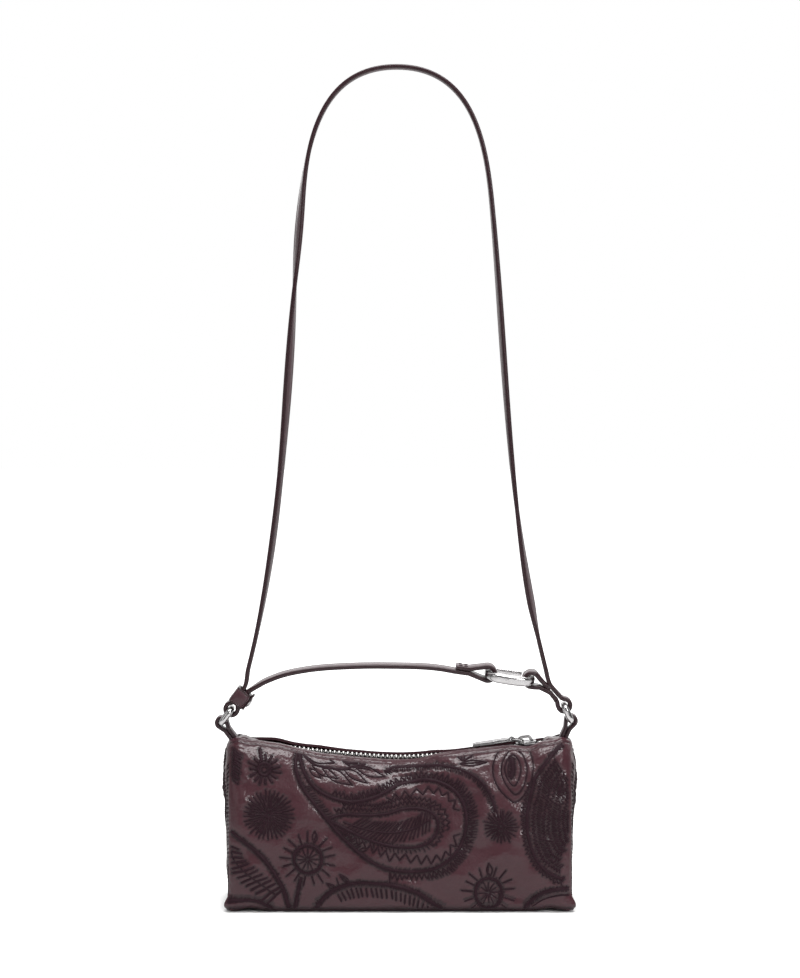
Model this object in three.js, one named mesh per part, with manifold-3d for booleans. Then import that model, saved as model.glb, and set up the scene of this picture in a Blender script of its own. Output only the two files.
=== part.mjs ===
// A small zipped shoulder bag with a short handle and a long strap, in millimetres.
// +Z is up, +X runs along the zip to the right, and the front faces -Y.
// The origin is the middle of the flat base.

import * as THREE from "three";
import { mergeVertices } from "three/addons/utils/BufferGeometryUtils.js";
import Module from "manifold-3d";

const wasm = await Module();
wasm.setup();

// Driving dimensions

const CLEARANCE = 0.3;
const TOTAL_HEIGHT = 491.3;

// Body
const BODY_WIDTH = 200;
const BODY_HEIGHT = 98;
const BASE_DEPTH = 52;
const PANEL_THICKNESS = 1.5;
const BASE_THICKNESS = 2;
const BASE_EAR = 3.2;
const BASE_WAIST = 1.2;
const BELLY = 8;
const BELLY_AT_ENDS = 4;
const BELLY_HEIGHT = 36;
const SHOULDER_INSET = 2;
const SHOULDER_DROP = 2.5;
const LIP_HALF_GAP = 7;
const LIP_RISE = 0.9;
const GUSSET_BULGE = 3;
const BOARD_THICKNESS = 1.2;
const BOARD_MARGIN = 5;
const LINING_THICKNESS = 0.8;
const LINING_GAP = 0.4;

// Zip
const ZIP_SAG = 10.8;
const ZIP_TAPE_MARGIN = 9;
const TAPE_THICKNESS = 0.6;
const TAPE_FLAT_EDGE = 4.9;
const TAPE_OUTER_EDGE = 9.6;
const TAPE_FALL = 2.9;
const TOOTH_PITCH = 2.6;
const TOOTH_LENGTH = 1;
const TOOTH_HEAD = 0.9;
const TOOTH_ROOT = 1.7;
const CHAIN_HALF_WIDTH = 2.9;
const CHAIN_HALF_HEIGHT = 1.2;
const CHAIN_MARGIN = 20.5;
const STOP_LENGTH = 2.6;
const END_TAB_OVERHANG = 5.5;
const END_TAB_HALF_WIDTH = 6.2;
const END_TAB_THICKNESS = 1.2;

// Slider and pull
const SLIDER_FROM_END = 25.5;
const SLIDER_LENGTH = 12;
const SLIDER_NOSE_HALF_WIDTH = 3.6;
const SLIDER_WALL = 1;
const SLIDER_SIDE_CLEARANCE = 0.5;
const SLIDER_CHAIN_CLEARANCE = 0.4;
const SLIDER_SLOT = 1.3;
const NECK_WIDTH = 2.4;
const NECK_LENGTH = 4;
const NECK_AT = 2.6;
const CROWN_LENGTH = 9.4;
const CROWN_HEIGHT = 3.8;
const CROWN_THICKNESS = 1.2;
const CROWN_WIDTH = 2.4;
const LINK_AT = -1.6;
const LINK_WIRE = 1.3;
const LINK_REACH = 6.6;
const LINK_WIDTH = 4.9;
const LINK_TILT = 6;
const PULL_LENGTH = 25;
const PULL_WIDTH = 7.4;
const PULL_THICKNESS = 1.6;
const PULL_SHOULDER = 1.8;
const PULL_CORNER = 1.2;
const KNUCKLE_WALL = 0.7;
const PULL_TILT = 9;

// Straps, tabs and rings
const STRAP_WIDTH = 9;
const STRAP_THICKNESS = 2.5;
const TAB_THICKNESS = 2.2;
const TAB_LENGTH = 10;
const TAB_THROAT = 5;
const TAB_INSET = 1.2;
const RING_WIRE = 3;
const RING_SPACING = 10;
const RING_SIDE_CLEARANCE = 0.75;
const RING_CORNER = 3.2;
const RING_PLAY = 0.9;
const LOOP_THROAT = 4.1;
const LEFT_TAB_LEAN = 37;
const LEFT_RING_LEAN = 36;
const LEFT_BUNDLE_LEAN = 37;
const RIGHT_TAB_SETBACK = 2.4;
const RIGHT_TAB_LEAN = 24;
const RIGHT_RING_LEAN = 24;
const RIGHT_BUNDLE_LEAN = 42;
const RIGHT_BUNDLE_LENGTH = 12.2;
const RIGHT_BUNDLE_GAP = 0.9;
const CONNECTOR_LEAN = 60;

// Long strap
const STRAP_FOLD_ABOVE_RING = 23.8;
const STRAP_LEAN = 14.5;
const STUB_BEND = 1.6;
const LEFT_STRAP_DRIFT = 2.9;
const RIGHT_STRAP_DRIFT = 4.0;
const STRAP_CENTRE_X = -2;
const SHOULDER_HALF_SPREAD = 55.5;
const SHOULDER_FALL = 79;
const SHOULDER_LEAN = 5.5;

// Keeper
const KEEPER_START = 4.4;
const KEEPER_LENGTH = 9;
const KEEPER_WALL = 1.8;
const RIVET_CAP_RADIUS = 3.3;
const RIVET_CAP_HEIGHT = 1.5;
const RIVET_POST_RADIUS = 1.4;

// Handle and clip ring
const HANDLE_ROLL = 6;
const HANDLE_START_ANGLE = 32;
const HANDLE_FOLD_FROM_KEEPER = 5.7;
const HANDLE_FLAP = 8;
const HANDLE_THROAT = 11;
const HANDLE_LOOP_LEAN = 8;
const CLIP_LENGTH = 29.6;
const CLIP_WIDTH = 21;
const CLIP_CORNER = 7;
const CLIP_BAND = 3.6;
const CLIP_HEIGHT = 4;
const CLIP_TILT = 8.4;
const CLIP_FROM_FOLD = 5.0;
const CLIP_ABOVE_FOLD = 4.7;
const CONNECTOR_THROAT = 4.8;
const GATE_START = -8.2;
const GATE_END = 7.4;
const GATE_TONGUE = 1.4;
const GATE_TONGUE_REACH = 2.6;
const GATE_PIN_RADIUS = 0.6;
const GATE_LAP = 1.6;
const GATE_LAP_THICKNESS = 1.3;
const GATE_SWING = 24;
const SPRING_RADIUS = 0.6;
const SPRING_LENGTH = 2.4;

// Derived dimensions

const HALF_WIDTH = BODY_WIDTH / 2;
const ZIP_TAPE_END = HALF_WIDTH - ZIP_TAPE_MARGIN;
const CHAIN_START = CHAIN_MARGIN - HALF_WIDTH;
const SLIDER_AT = HALF_WIDTH - SLIDER_FROM_END;
const ZIP_RADIUS = (HALF_WIDTH ** 2 + ZIP_SAG ** 2) / (2 * ZIP_SAG);
const ZIP_CENTRE_Z = BODY_HEIGHT - ZIP_SAG + ZIP_RADIUS;
const FOOT_Z = BASE_THICKNESS + CLEARANCE;
const PANEL_HALF_LENGTH = HALF_WIDTH - PANEL_THICKNESS - CLEARANCE;
const TONGUE = STRAP_WIDTH / 2;
const TONGUE_GAP = 0.8;

// Colours, taken from the photo

const LEATHER = { color: 0x40302f, roughness: 0.35, metalness: 0 };
const STRAP_LEATHER = { color: 0x463538, roughness: 0.38, metalness: 0 };
const LINING_CLOTH = { color: 0x2a2226, roughness: 0.9, metalness: 0 };
const BOARD_FIBRE = { color: 0x6b5f55, roughness: 0.9, metalness: 0 };
const TAPE_CLOTH = { color: 0x2b2023, roughness: 0.85, metalness: 0 };
const SILVER = { color: 0xc6c6ca, roughness: 0.22, metalness: 1 };
const SPRING_STEEL = { color: 0x9b9ca0, roughness: 0.35, metalness: 1 };

const part = new THREE.Group();

// Makes a named mesh with its own material and adds it to a group.
function place(group, name, geometry, finish) {
  const mesh = new THREE.Mesh(geometry, new THREE.MeshStandardMaterial(finish));
  mesh.name = name;
  group.add(mesh);
  return mesh;
}

const vec = (x, y, z) => new THREE.Vector3(x, y, z);
const flat = (x, z) => new THREE.Vector2(x, z);
const rad = (degrees) => THREE.MathUtils.degToRad(degrees);
const steps = (count) => Array.from({ length: count + 1 }, (_, i) => i / count);

// Closed solids

// A closed geometry from points and triangles, its faces turned outwards.
function closedGeometry(points, triangles) {
  const volume = triangles.reduce((sum, [a, b, c]) => {
    const cross = new THREE.Vector3().crossVectors(points[b], points[c]);
    return sum + points[a].dot(cross);
  }, 0);
  const order = volume < 0 ? ([a, b, c]) => [a, c, b] : (triangle) => triangle;
  const geometry = new THREE.BufferGeometry();
  geometry.setFromPoints(points);
  geometry.setIndex(triangles.flatMap(order));
  geometry.computeVertexNormals();
  return geometry;
}

// Two triangles of a four-cornered face.
const quad = (a, b, c, d) => [[a, b, c], [a, c, d]];

// A skin over a row of sections with equal counts of points. Each section runs along its outer
// side and back along its inner side. An open row is capped, a closed one joins its last section
// to its first.
function loft(sections, closed = false) {
  const size = sections[0].length;
  const points = sections.flat();
  const triangles = [];
  const last = sections.length - 1;
  for (let i = 0; i < (closed ? sections.length : last); i += 1) {
    const here = i * size;
    const next = ((i + 1) % sections.length) * size;
    for (let k = 0; k < size; k += 1) {
      const after = (k + 1) % size;
      triangles.push(...quad(here + k, here + after, next + after, next + k));
    }
  }
  if (!closed) {
    for (let k = 0; k < size / 2 - 1; k += 1) {
      const back = size - 1 - k;
      triangles.push(...quad(k, back, back - 1, k + 1));
      const end = last * size;
      triangles.push(...quad(end + k, end + k + 1, end + back - 1, end + back));
    }
  }
  return closedGeometry(points, triangles);
}

// A geometry as a solid for cutting and joining.
function solidOf(geometry) {
  const bare = new THREE.BufferGeometry();
  bare.setAttribute("position", geometry.getAttribute("position").clone());
  bare.setIndex(geometry.getIndex());
  const merged = mergeVertices(bare, 1e-4);
  const mesh = new wasm.Mesh({
    numProp: 3,
    vertProperties: new Float32Array(merged.getAttribute("position").array),
    triVerts: new Uint32Array(merged.getIndex().array),
  });
  return new wasm.Manifold(mesh);
}

function geometryOf(solid) {
  const mesh = solid.getMesh();
  const geometry = new THREE.BufferGeometry();
  geometry.setAttribute("position", new THREE.BufferAttribute(mesh.vertProperties, 3));
  geometry.setIndex(new THREE.BufferAttribute(mesh.triVerts, 1));
  geometry.computeVertexNormals();
  return geometry;
}

const join = (first, ...others) =>
  geometryOf(others.reduce((whole, other) => whole.add(solidOf(other)), solidOf(first)));
const cut = (first, ...others) =>
  geometryOf(others.reduce((whole, other) => whole.subtract(solidOf(other)), solidOf(first)));
const common = (first, other) => geometryOf(solidOf(first).intersect(solidOf(other)));

// A box from its least to its greatest corner.
function box(low, high) {
  const size = new THREE.Vector3().subVectors(high, low);
  const middle = new THREE.Vector3().addVectors(low, high).multiplyScalar(0.5);
  return new THREE.BoxGeometry(size.x, size.y, size.z).translate(middle.x, middle.y, middle.z);
}

// A round bar along Z between two heights.
const rod = (radius, low, high, sides = 16) =>
  new THREE.CylinderGeometry(radius, radius, high - low, sides)
    .rotateX(Math.PI / 2)
    .translate(0, 0, (low + high) / 2);

// An outline in X and Z, made solid across Y and centred on Y = 0.
const acrossY = (shape, width) =>
  new THREE.ExtrudeGeometry(shape, { depth: width, bevelEnabled: false, curveSegments: 8 })
    .rotateX(Math.PI / 2)
    .translate(0, width / 2, 0);

// An outline in X and Y, made solid upwards from a height.
const upwards = (shape, low, high) =>
  new THREE.ExtrudeGeometry(shape, { depth: high - low, bevelEnabled: false, curveSegments: 6 })
    .translate(0, 0, low);

// A rectangle with round corners, centred on the origin.
function roundedRectangle(length, width, corner, Outline = THREE.Shape) {
  const x = length / 2;
  const y = width / 2;
  const outline = new Outline();
  outline.moveTo(x, -y + corner);
  outline.lineTo(x, y - corner);
  outline.absarc(x - corner, y - corner, corner, 0, Math.PI / 2);
  outline.lineTo(-x + corner, y);
  outline.absarc(-x + corner, y - corner, corner, Math.PI / 2, Math.PI);
  outline.lineTo(-x, -y + corner);
  outline.absarc(-x + corner, -y + corner, corner, Math.PI, Math.PI * 1.5);
  outline.lineTo(x - corner, -y);
  outline.absarc(x - corner, -y + corner, corner, Math.PI * 1.5, Math.PI * 2);
  return outline;
}

// A round wire bent into a closed rectangle in X and Y.
function wireRing(length, width, corner, wire) {
  const line = roundedRectangle(length - wire, width - wire, corner).getPoints(2);
  const route = line.filter((p, i) => p.distanceTo(line[(i + 1) % line.length]) > 0.01);
  const sides = 8;
  const sections = route.map((point, i) => {
    const before = route[(i + route.length - 1) % route.length];
    const after = route[(i + 1) % route.length];
    const along = after.clone().sub(before).normalize();
    return steps(sides).slice(0, sides).map((share) => {
      const turn = share * Math.PI * 2;
      const out = (Math.cos(turn) * wire) / 2;
      return vec(
        point.x + along.y * out,
        point.y - along.x * out,
        (Math.sin(turn) * wire) / 2,
      );
    });
  });
  return loft(sections, true);
}

// Straps

// A flat strap that follows a line in X and Z. A round end narrows like a tongue.
function ribbon(line, thickness, { roundStart = false, roundEnd = false } = {}) {
  const route = line.filter((p, i) => i === 0 || p.distanceTo(line[i - 1]) > 0.05);
  const reach = [0];
  for (let i = 1; i < route.length; i += 1) {
    reach.push(reach[i - 1] + route[i].distanceTo(route[i - 1]));
  }
  const whole = reach[reach.length - 1];
  const halfWidth = (fromEnd) => {
    const short = Math.max(TONGUE - fromEnd, 0);
    return Math.max(Math.sqrt(TONGUE ** 2 - short ** 2), TONGUE * 0.2);
  };
  const sections = route.map((point, i) => {
    const before = route[Math.max(i - 1, 0)];
    const after = route[Math.min(i + 1, route.length - 1)];
    const along = after.clone().sub(before).normalize();
    const out = flat(-along.y, along.x).multiplyScalar(thickness / 2);
    const start = roundStart ? halfWidth(reach[i]) : TONGUE;
    const end = roundEnd ? halfWidth(whole - reach[i]) : TONGUE;
    const half = Math.min(start, end);
    return [
      vec(point.x + out.x, -half, point.y + out.y),
      vec(point.x + out.x, half, point.y + out.y),
      vec(point.x - out.x, half, point.y - out.y),
      vec(point.x - out.x, -half, point.y - out.y),
    ];
  });
  return loft(sections);
}

// Points of a smooth bend between two points that leaves and arrives along given directions.
function bend(from, leaving, to, arriving, pull, count) {
  const curve = new THREE.CubicBezierCurve(
    from,
    from.clone().addScaledVector(leaving, pull),
    to.clone().addScaledVector(arriving, -pull),
    to,
  );
  return curve.getPoints(count);
}

// Points of a straight run from a tongue's tip, close-set at first, for its round end.
const tongueRun = (tip, inward, length = TONGUE) =>
  [0, 0.06, 0.25, 0.55, 1].map((share) => tip.clone().addScaledVector(inward, length * share));

// The line of a strap that turns round a bar and closes on itself at its throat. It starts on the
// side that lies to the left of the direction from the bar to the throat.
function loopLine(bar, toThroat, innerRadius, thickness, throat, gap = CLEARANCE) {
  const side = flat(-toThroat.y, toThroat.x);
  const radius = innerRadius + thickness / 2;
  const half = (thickness + gap) / 2;
  const at = (along, across) =>
    bar.clone().addScaledVector(toThroat, along).addScaledVector(side, across);
  const first = Math.atan2(half, throat) + Math.acos(radius / Math.hypot(throat, half));
  const turn = steps(14).map((share) => {
    const angle = first + share * (2 * Math.PI - 2 * first);
    return at(radius * Math.cos(angle), radius * Math.sin(angle));
  });
  return { line: [at(throat, half), ...turn, at(throat, -half)], at, half };
}

// Body panels

// Height of the zip's middle line above the base.
const zipHeight = (x) => ZIP_CENTRE_Z - Math.sqrt(ZIP_RADIUS ** 2 - x ** 2);

// A point of the body's section at x, from the foot (share 0) to the lip (share 1), moved in by
// an inset. Gives the half depth and the height.
function skin(x, share, inset = 0) {
  const lip = zipHeight(x) + LIP_RISE;
  const swell = THREE.MathUtils.lerp(BELLY, BELLY_AT_ENDS, (x / HALF_WIDTH) ** 2);
  const curve = new THREE.CubicBezierCurve(
    flat(BASE_DEPTH / 2, FOOT_Z),
    flat(BASE_DEPTH / 2 + swell, BELLY_HEIGHT),
    flat(BASE_DEPTH / 2 - SHOULDER_INSET, lip - SHOULDER_DROP),
    flat(LIP_HALF_GAP, lip),
  );
  const point = curve.getPoint(share);
  const along = curve.getTangent(share);
  return { y: point.x - along.y * inset, z: point.y + along.x * inset };
}

const ALONG = steps(14);
const UP = steps(9);
const UP_TO_TAPE = UP.slice(0, -1);

// The front panel for side -1 and the back panel for side 1.
function bodyPanel(side) {
  const sections = ALONG.map((share) => {
    const x = THREE.MathUtils.lerp(-PANEL_HALF_LENGTH, PANEL_HALF_LENGTH, share);
    const face = (inset) => UP.map((up) => {
      const point = skin(x, up, inset);
      return vec(x, side * point.y, point.z);
    });
    return [...face(0), ...face(PANEL_THICKNESS).reverse()];
  });
  return loft(sections);
}

// The gusset at the left for side -1 and at the right for side 1.
function gusset(side) {
  const sections = UP.map((up) => {
    const edge = skin(HALF_WIDTH, up);
    const face = (inset) => steps(8).map((share) => {
      const across = 2 * share - 1;
      const swell = GUSSET_BULGE * (1 - across ** 2) * Math.sin(Math.PI * up);
      return vec(side * (HALF_WIDTH + swell - inset), across * edge.y, edge.z);
    });
    return [...face(0), ...face(PANEL_THICKNESS).reverse()];
  });
  return loft(sections);
}

// The base, a flat plate with a slight waist and a pointed ear at each corner.
function basePanel() {
  const x = HALF_WIDTH;
  const y = BASE_DEPTH / 2;
  const outline = new THREE.Shape();
  outline.moveTo(-x - BASE_EAR, -y - BASE_EAR / 2);
  outline.quadraticCurveTo(-x * 0.85, -y, 0, -y + BASE_WAIST);
  outline.quadraticCurveTo(x * 0.85, -y, x + BASE_EAR, -y - BASE_EAR / 2);
  outline.quadraticCurveTo(x, -y * 0.7, x, 0);
  outline.quadraticCurveTo(x, y * 0.7, x + BASE_EAR, y + BASE_EAR / 2);
  outline.quadraticCurveTo(x * 0.85, y, 0, y - BASE_WAIST);
  outline.quadraticCurveTo(-x * 0.85, y, -x - BASE_EAR, y + BASE_EAR / 2);
  outline.quadraticCurveTo(-x, y * 0.7, -x, 0);
  outline.quadraticCurveTo(-x, -y * 0.7, -x - BASE_EAR, -y - BASE_EAR / 2);
  return upwards(outline, 0, BASE_THICKNESS);
}

const BOARD_TOP = FOOT_Z + BOARD_THICKNESS;
const LINING_FLOOR = BOARD_TOP + CLEARANCE;
const LINING_INSET = PANEL_THICKNESS + LINING_GAP;
const LINING_HALF_LENGTH = PANEL_HALF_LENGTH - LINING_GAP;

// The lining, a tub that follows the panels inside up to the zip's tapes.
function lining() {
  const around = (x, inset, floor) => {
    const front = UP_TO_TAPE.map((up) => {
      const point = skin(x, up, inset);
      return vec(x, -point.y, Math.max(point.z, floor));
    });
    const back = front.map(({ y, z }) => vec(x, -y, z));
    return [...front.reverse(), ...back];
  };
  const trough = loft(ALONG.map((share) => {
    const x = THREE.MathUtils.lerp(-LINING_HALF_LENGTH, LINING_HALF_LENGTH, share);
    const inner = around(x, LINING_INSET + LINING_THICKNESS, LINING_FLOOR + LINING_THICKNESS);
    return [...around(x, LINING_INSET, LINING_FLOOR), ...inner.reverse()];
  }));
  const ends = [-1, 1].map((side) => {
    const x = side * LINING_HALF_LENGTH;
    const faces = [x, x - side * LINING_THICKNESS];
    return loft(faces.map((at) => around(at, LINING_INSET, LINING_FLOOR)));
  });
  return join(trough, ...ends);
}

place(part, "front_panel", bodyPanel(-1), LEATHER);
place(part, "back_panel", bodyPanel(1), LEATHER);
place(part, "left_gusset", gusset(-1), LEATHER);
place(part, "right_gusset", gusset(1), LEATHER);
place(part, "base_panel", basePanel(), LEATHER);
place(
  part,
  "base_board",
  box(
    vec(-HALF_WIDTH + BOARD_MARGIN, -BASE_DEPTH / 2 + BOARD_MARGIN, FOOT_Z),
    vec(HALF_WIDTH - BOARD_MARGIN, BASE_DEPTH / 2 - BOARD_MARGIN, BOARD_TOP),
  ),
  BOARD_FIBRE,
);
place(part, "lining", lining(), LINING_CLOTH);

// Zip, bent to a circular arc whose centre lies above the bag

// A point at a length along the zip from its lowest place, and a height over its middle line.
function onZip(length, y, height) {
  const angle = length / ZIP_RADIUS;
  const radius = ZIP_RADIUS - height;
  return vec(radius * Math.sin(angle), y, ZIP_CENTRE_Z - radius * Math.cos(angle));
}

// A group whose origin lies on the zip's middle line, with X along it.
function zipGroup(length) {
  const centre = new THREE.Group();
  centre.position.z = ZIP_CENTRE_Z;
  centre.rotation.y = -length / ZIP_RADIUS;
  const seat = new THREE.Group();
  seat.position.z = -ZIP_RADIUS;
  centre.add(seat);
  part.add(centre);
  return seat;
}

const sliderLength = ZIP_RADIUS * Math.asin(SLIDER_AT / ZIP_RADIUS);
const sliderBack = sliderLength + SLIDER_LENGTH / 2;
const chainEnd = sliderLength + NECK_AT - NECK_LENGTH / 2 - CLEARANCE - TOOTH_PITCH;
const toothCount = Math.floor((chainEnd - CHAIN_START) / TOOTH_PITCH);
const bottomStop = CHAIN_START - STOP_LENGTH - 2 * CLEARANCE;
const topStop = sliderBack + 2 * CLEARANCE;
const endTabReach = ZIP_TAPE_END + END_TAB_OVERHANG;

// A tape on side -1 or 1. It lies flat beside the teeth and falls away under the lip.
function zipTape(side) {
  const profile = [
    [CHAIN_HALF_WIDTH + CLEARANCE, 0],
    [TAPE_FLAT_EDGE, 0],
    [TAPE_OUTER_EDGE, -TAPE_FALL],
  ];
  const half = TAPE_THICKNESS / 2;
  return loft(steps(24).map((share) => {
    const length = THREE.MathUtils.lerp(-ZIP_TAPE_END, ZIP_TAPE_END, share);
    const top = profile.map(([y, height]) => onZip(length, side * y, height + half));
    const under = profile.map(([y, height]) => onZip(length, side * y, height - half));
    return [...top, ...under.reverse()];
  }));
}

// A row of teeth on side -1 or 1, joined by their clamped roots. The two rows mesh.
function teethRow(side) {
  const slope = 0.1;
  const section = (length, head) => {
    const corner = (y, height) => onZip(length, side * y, height);
    return [
      corner(CHAIN_HALF_WIDTH, CHAIN_HALF_HEIGHT),
      corner(head, CHAIN_HALF_HEIGHT),
      corner(head, -CHAIN_HALF_HEIGHT),
      corner(CHAIN_HALF_WIDTH, -CHAIN_HALF_HEIGHT),
    ];
  };
  const first = CHAIN_START + (side > 0 ? TOOTH_PITCH / 2 : 0);
  const sections = Array.from({ length: toothCount }, (_, i) => {
    const start = first + i * TOOTH_PITCH;
    return [
      section(start - slope, TOOTH_ROOT),
      section(start, -TOOTH_HEAD),
      section(start + TOOTH_LENGTH, -TOOTH_HEAD),
      section(start + TOOTH_LENGTH + slope, TOOTH_ROOT),
    ];
  });
  return loft(sections.flat());
}

// A leather tab over an end of the zip, between two lengths along it.
function zipEndTab(from, to) {
  const low = TAPE_THICKNESS / 2 + CLEARANCE;
  return loft(steps(4).map((share) => {
    const length = THREE.MathUtils.lerp(from, to, share);
    return [
      onZip(length, -END_TAB_HALF_WIDTH, low + END_TAB_THICKNESS),
      onZip(length, END_TAB_HALF_WIDTH, low + END_TAB_THICKNESS),
      onZip(length, END_TAB_HALF_WIDTH, low),
      onZip(length, -END_TAB_HALF_WIDTH, low),
    ];
  }));
}

// A stop of the chain's own height between two Y values, from X = 0 onwards.
const chainStop = (low, high) =>
  box(vec(0, low, -CHAIN_HALF_HEIGHT), vec(STOP_LENGTH, high, CHAIN_HALF_HEIGHT));

place(part, "front_zip_tape", zipTape(-1), TAPE_CLOTH);
place(part, "back_zip_tape", zipTape(1), TAPE_CLOTH);
place(part, "front_zip_teeth", teethRow(-1), SILVER);
place(part, "back_zip_teeth", teethRow(1), SILVER);
place(part, "left_zip_end_tab", zipEndTab(-endTabReach, bottomStop - CLEARANCE), LEATHER);
place(
  part,
  "right_zip_end_tab",
  zipEndTab(topStop + STOP_LENGTH + CLEARANCE, endTabReach),
  LEATHER,
);

const bottomStopSeat = zipGroup(bottomStop);
place(
  bottomStopSeat,
  "zip_bottom_stop",
  chainStop(-CHAIN_HALF_WIDTH, CHAIN_HALF_WIDTH),
  SILVER,
);
const topStopSeat = zipGroup(topStop);
place(topStopSeat, "front_zip_top_stop", chainStop(-CHAIN_HALF_WIDTH, -TOOTH_ROOT), SILVER);
place(topStopSeat, "back_zip_top_stop", chainStop(TOOTH_ROOT, CHAIN_HALF_WIDTH), SILVER);

// Slider and pull

const sliderInnerWidth = CHAIN_HALF_WIDTH + SLIDER_SIDE_CLEARANCE;
const sliderOuterWidth = sliderInnerWidth + SLIDER_WALL;
const sliderInnerHeight = CHAIN_HALF_HEIGHT + SLIDER_CHAIN_CLEARANCE;
const sliderOuterHeight = sliderInnerHeight + SLIDER_WALL;

// The slider: two flanged plates held apart by a neck, with an arched crown on top.
function slider() {
  const half = SLIDER_LENGTH / 2;
  const outer = box(
    vec(-half, -sliderOuterWidth, -sliderOuterHeight),
    vec(half, sliderOuterWidth, sliderOuterHeight),
  );
  const channel = box(
    vec(-half - 1, -sliderInnerWidth, -sliderInnerHeight),
    vec(half + 1, sliderInnerWidth, sliderInnerHeight),
  );
  const slot = box(
    vec(-half - 1, -sliderOuterWidth - 1, -SLIDER_SLOT / 2),
    vec(half + 1, sliderOuterWidth + 1, SLIDER_SLOT / 2),
  );
  const plan = new THREE.Shape();
  plan.moveTo(-half, -SLIDER_NOSE_HALF_WIDTH);
  plan.lineTo(-half / 3, -sliderOuterWidth);
  plan.lineTo(half * 0.8, -sliderOuterWidth);
  plan.lineTo(half, -sliderOuterWidth * 0.75);
  plan.lineTo(half, sliderOuterWidth * 0.75);
  plan.lineTo(half * 0.8, sliderOuterWidth);
  plan.lineTo(-half / 3, sliderOuterWidth);
  plan.lineTo(-half, SLIDER_NOSE_HALF_WIDTH);
  const shell = cut(
    common(outer, upwards(plan, -sliderOuterHeight - 1, sliderOuterHeight + 1)),
    channel,
    slot,
  );
  const neck = box(
    vec(NECK_AT - NECK_LENGTH / 2, -NECK_WIDTH / 2, -sliderInnerHeight - SLIDER_WALL / 2),
    vec(NECK_AT + NECK_LENGTH / 2, NECK_WIDTH / 2, sliderInnerHeight + SLIDER_WALL / 2),
  );
  const arch = new THREE.Shape();
  const foot = sliderOuterHeight - SLIDER_WALL / 2;
  const top = sliderOuterHeight + CROWN_HEIGHT;
  arch.moveTo(-CROWN_LENGTH / 2, foot);
  arch.lineTo(-CROWN_LENGTH / 2 + CROWN_THICKNESS, foot);
  arch.lineTo(-CROWN_LENGTH / 2 + CROWN_THICKNESS, top - CROWN_THICKNESS * 1.6);
  arch.lineTo(-CROWN_LENGTH / 4, top - CROWN_THICKNESS);
  arch.lineTo(CROWN_LENGTH / 4, top - CROWN_THICKNESS);
  arch.lineTo(CROWN_LENGTH / 2 - CROWN_THICKNESS, foot);
  arch.lineTo(CROWN_LENGTH / 2, foot);
  arch.lineTo(CROWN_LENGTH / 4 + CROWN_THICKNESS * 0.7, top - CROWN_THICKNESS * 0.3);
  arch.lineTo(CROWN_LENGTH / 4, top);
  arch.lineTo(-CROWN_LENGTH / 4, top);
  arch.lineTo(-CROWN_LENGTH / 2, top - CROWN_THICKNESS * 1.2);
  return join(shell, neck, acrossY(arch, CROWN_WIDTH));
}

const sliderSeat = zipGroup(sliderLength);
place(sliderSeat, "zip_slider", slider(), SILVER);

// The link hangs in the crown and the pull hangs in the link, both lying to the left.
const linkSeat = new THREE.Group();
linkSeat.position.set(LINK_AT, 0, sliderOuterHeight + CLEARANCE + LINK_WIRE / 2);
linkSeat.rotation.y = rad(LINK_TILT) + sliderLength / ZIP_RADIUS;
sliderSeat.add(linkSeat);
place(
  linkSeat,
  "pull_link",
  wireRing(LINK_REACH + LINK_WIRE, LINK_WIDTH + LINK_WIRE, LINK_WIRE, LINK_WIRE)
    .translate(-LINK_REACH / 2, 0, 0),
  SILVER,
);

const pullSeat = new THREE.Group();
pullSeat.position.x = -LINK_REACH;
pullSeat.rotation.y = rad(-PULL_TILT - LINK_TILT);
linkSeat.add(pullSeat);

// The pull tab, a plain plate with a narrow knuckle that turns on the link's bar.
function pullTab() {
  const halfKnuckle = (LINK_WIDTH - LINK_WIRE) / 2 - CLEARANCE;
  const bore = LINK_WIRE / 2 + CLEARANCE;
  const outer = bore + KNUCKLE_WALL;
  const length = PULL_LENGTH - outer - PULL_SHOULDER;
  const plate = upwards(
    roundedRectangle(length, PULL_WIDTH, PULL_CORNER),
    -PULL_THICKNESS / 2,
    PULL_THICKNESS / 2,
  ).translate(-PULL_SHOULDER - length / 2, 0, 0);
  const neck = box(
    vec(-PULL_SHOULDER - 1, -halfKnuckle, -PULL_THICKNESS / 2),
    vec(0, halfKnuckle, PULL_THICKNESS / 2),
  );
  const barrel = rod(outer, -halfKnuckle, halfKnuckle).rotateX(Math.PI / 2);
  const hole = rod(bore, -PULL_WIDTH, PULL_WIDTH).rotateX(Math.PI / 2);
  return cut(join(plate, neck, barrel), hole);
}
place(pullSeat, "pull_tab", pullTab(), SILVER);

// Corner tabs and rings

// Unit vector in X and Z that leans from straight up towards +X.
const leaning = (degrees) => flat(Math.sin(rad(degrees)), Math.cos(rad(degrees)));
const ringRadius = RING_WIRE / 2;
const cornerZ = BODY_HEIGHT + LIP_RISE + CLEARANCE;

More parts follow.
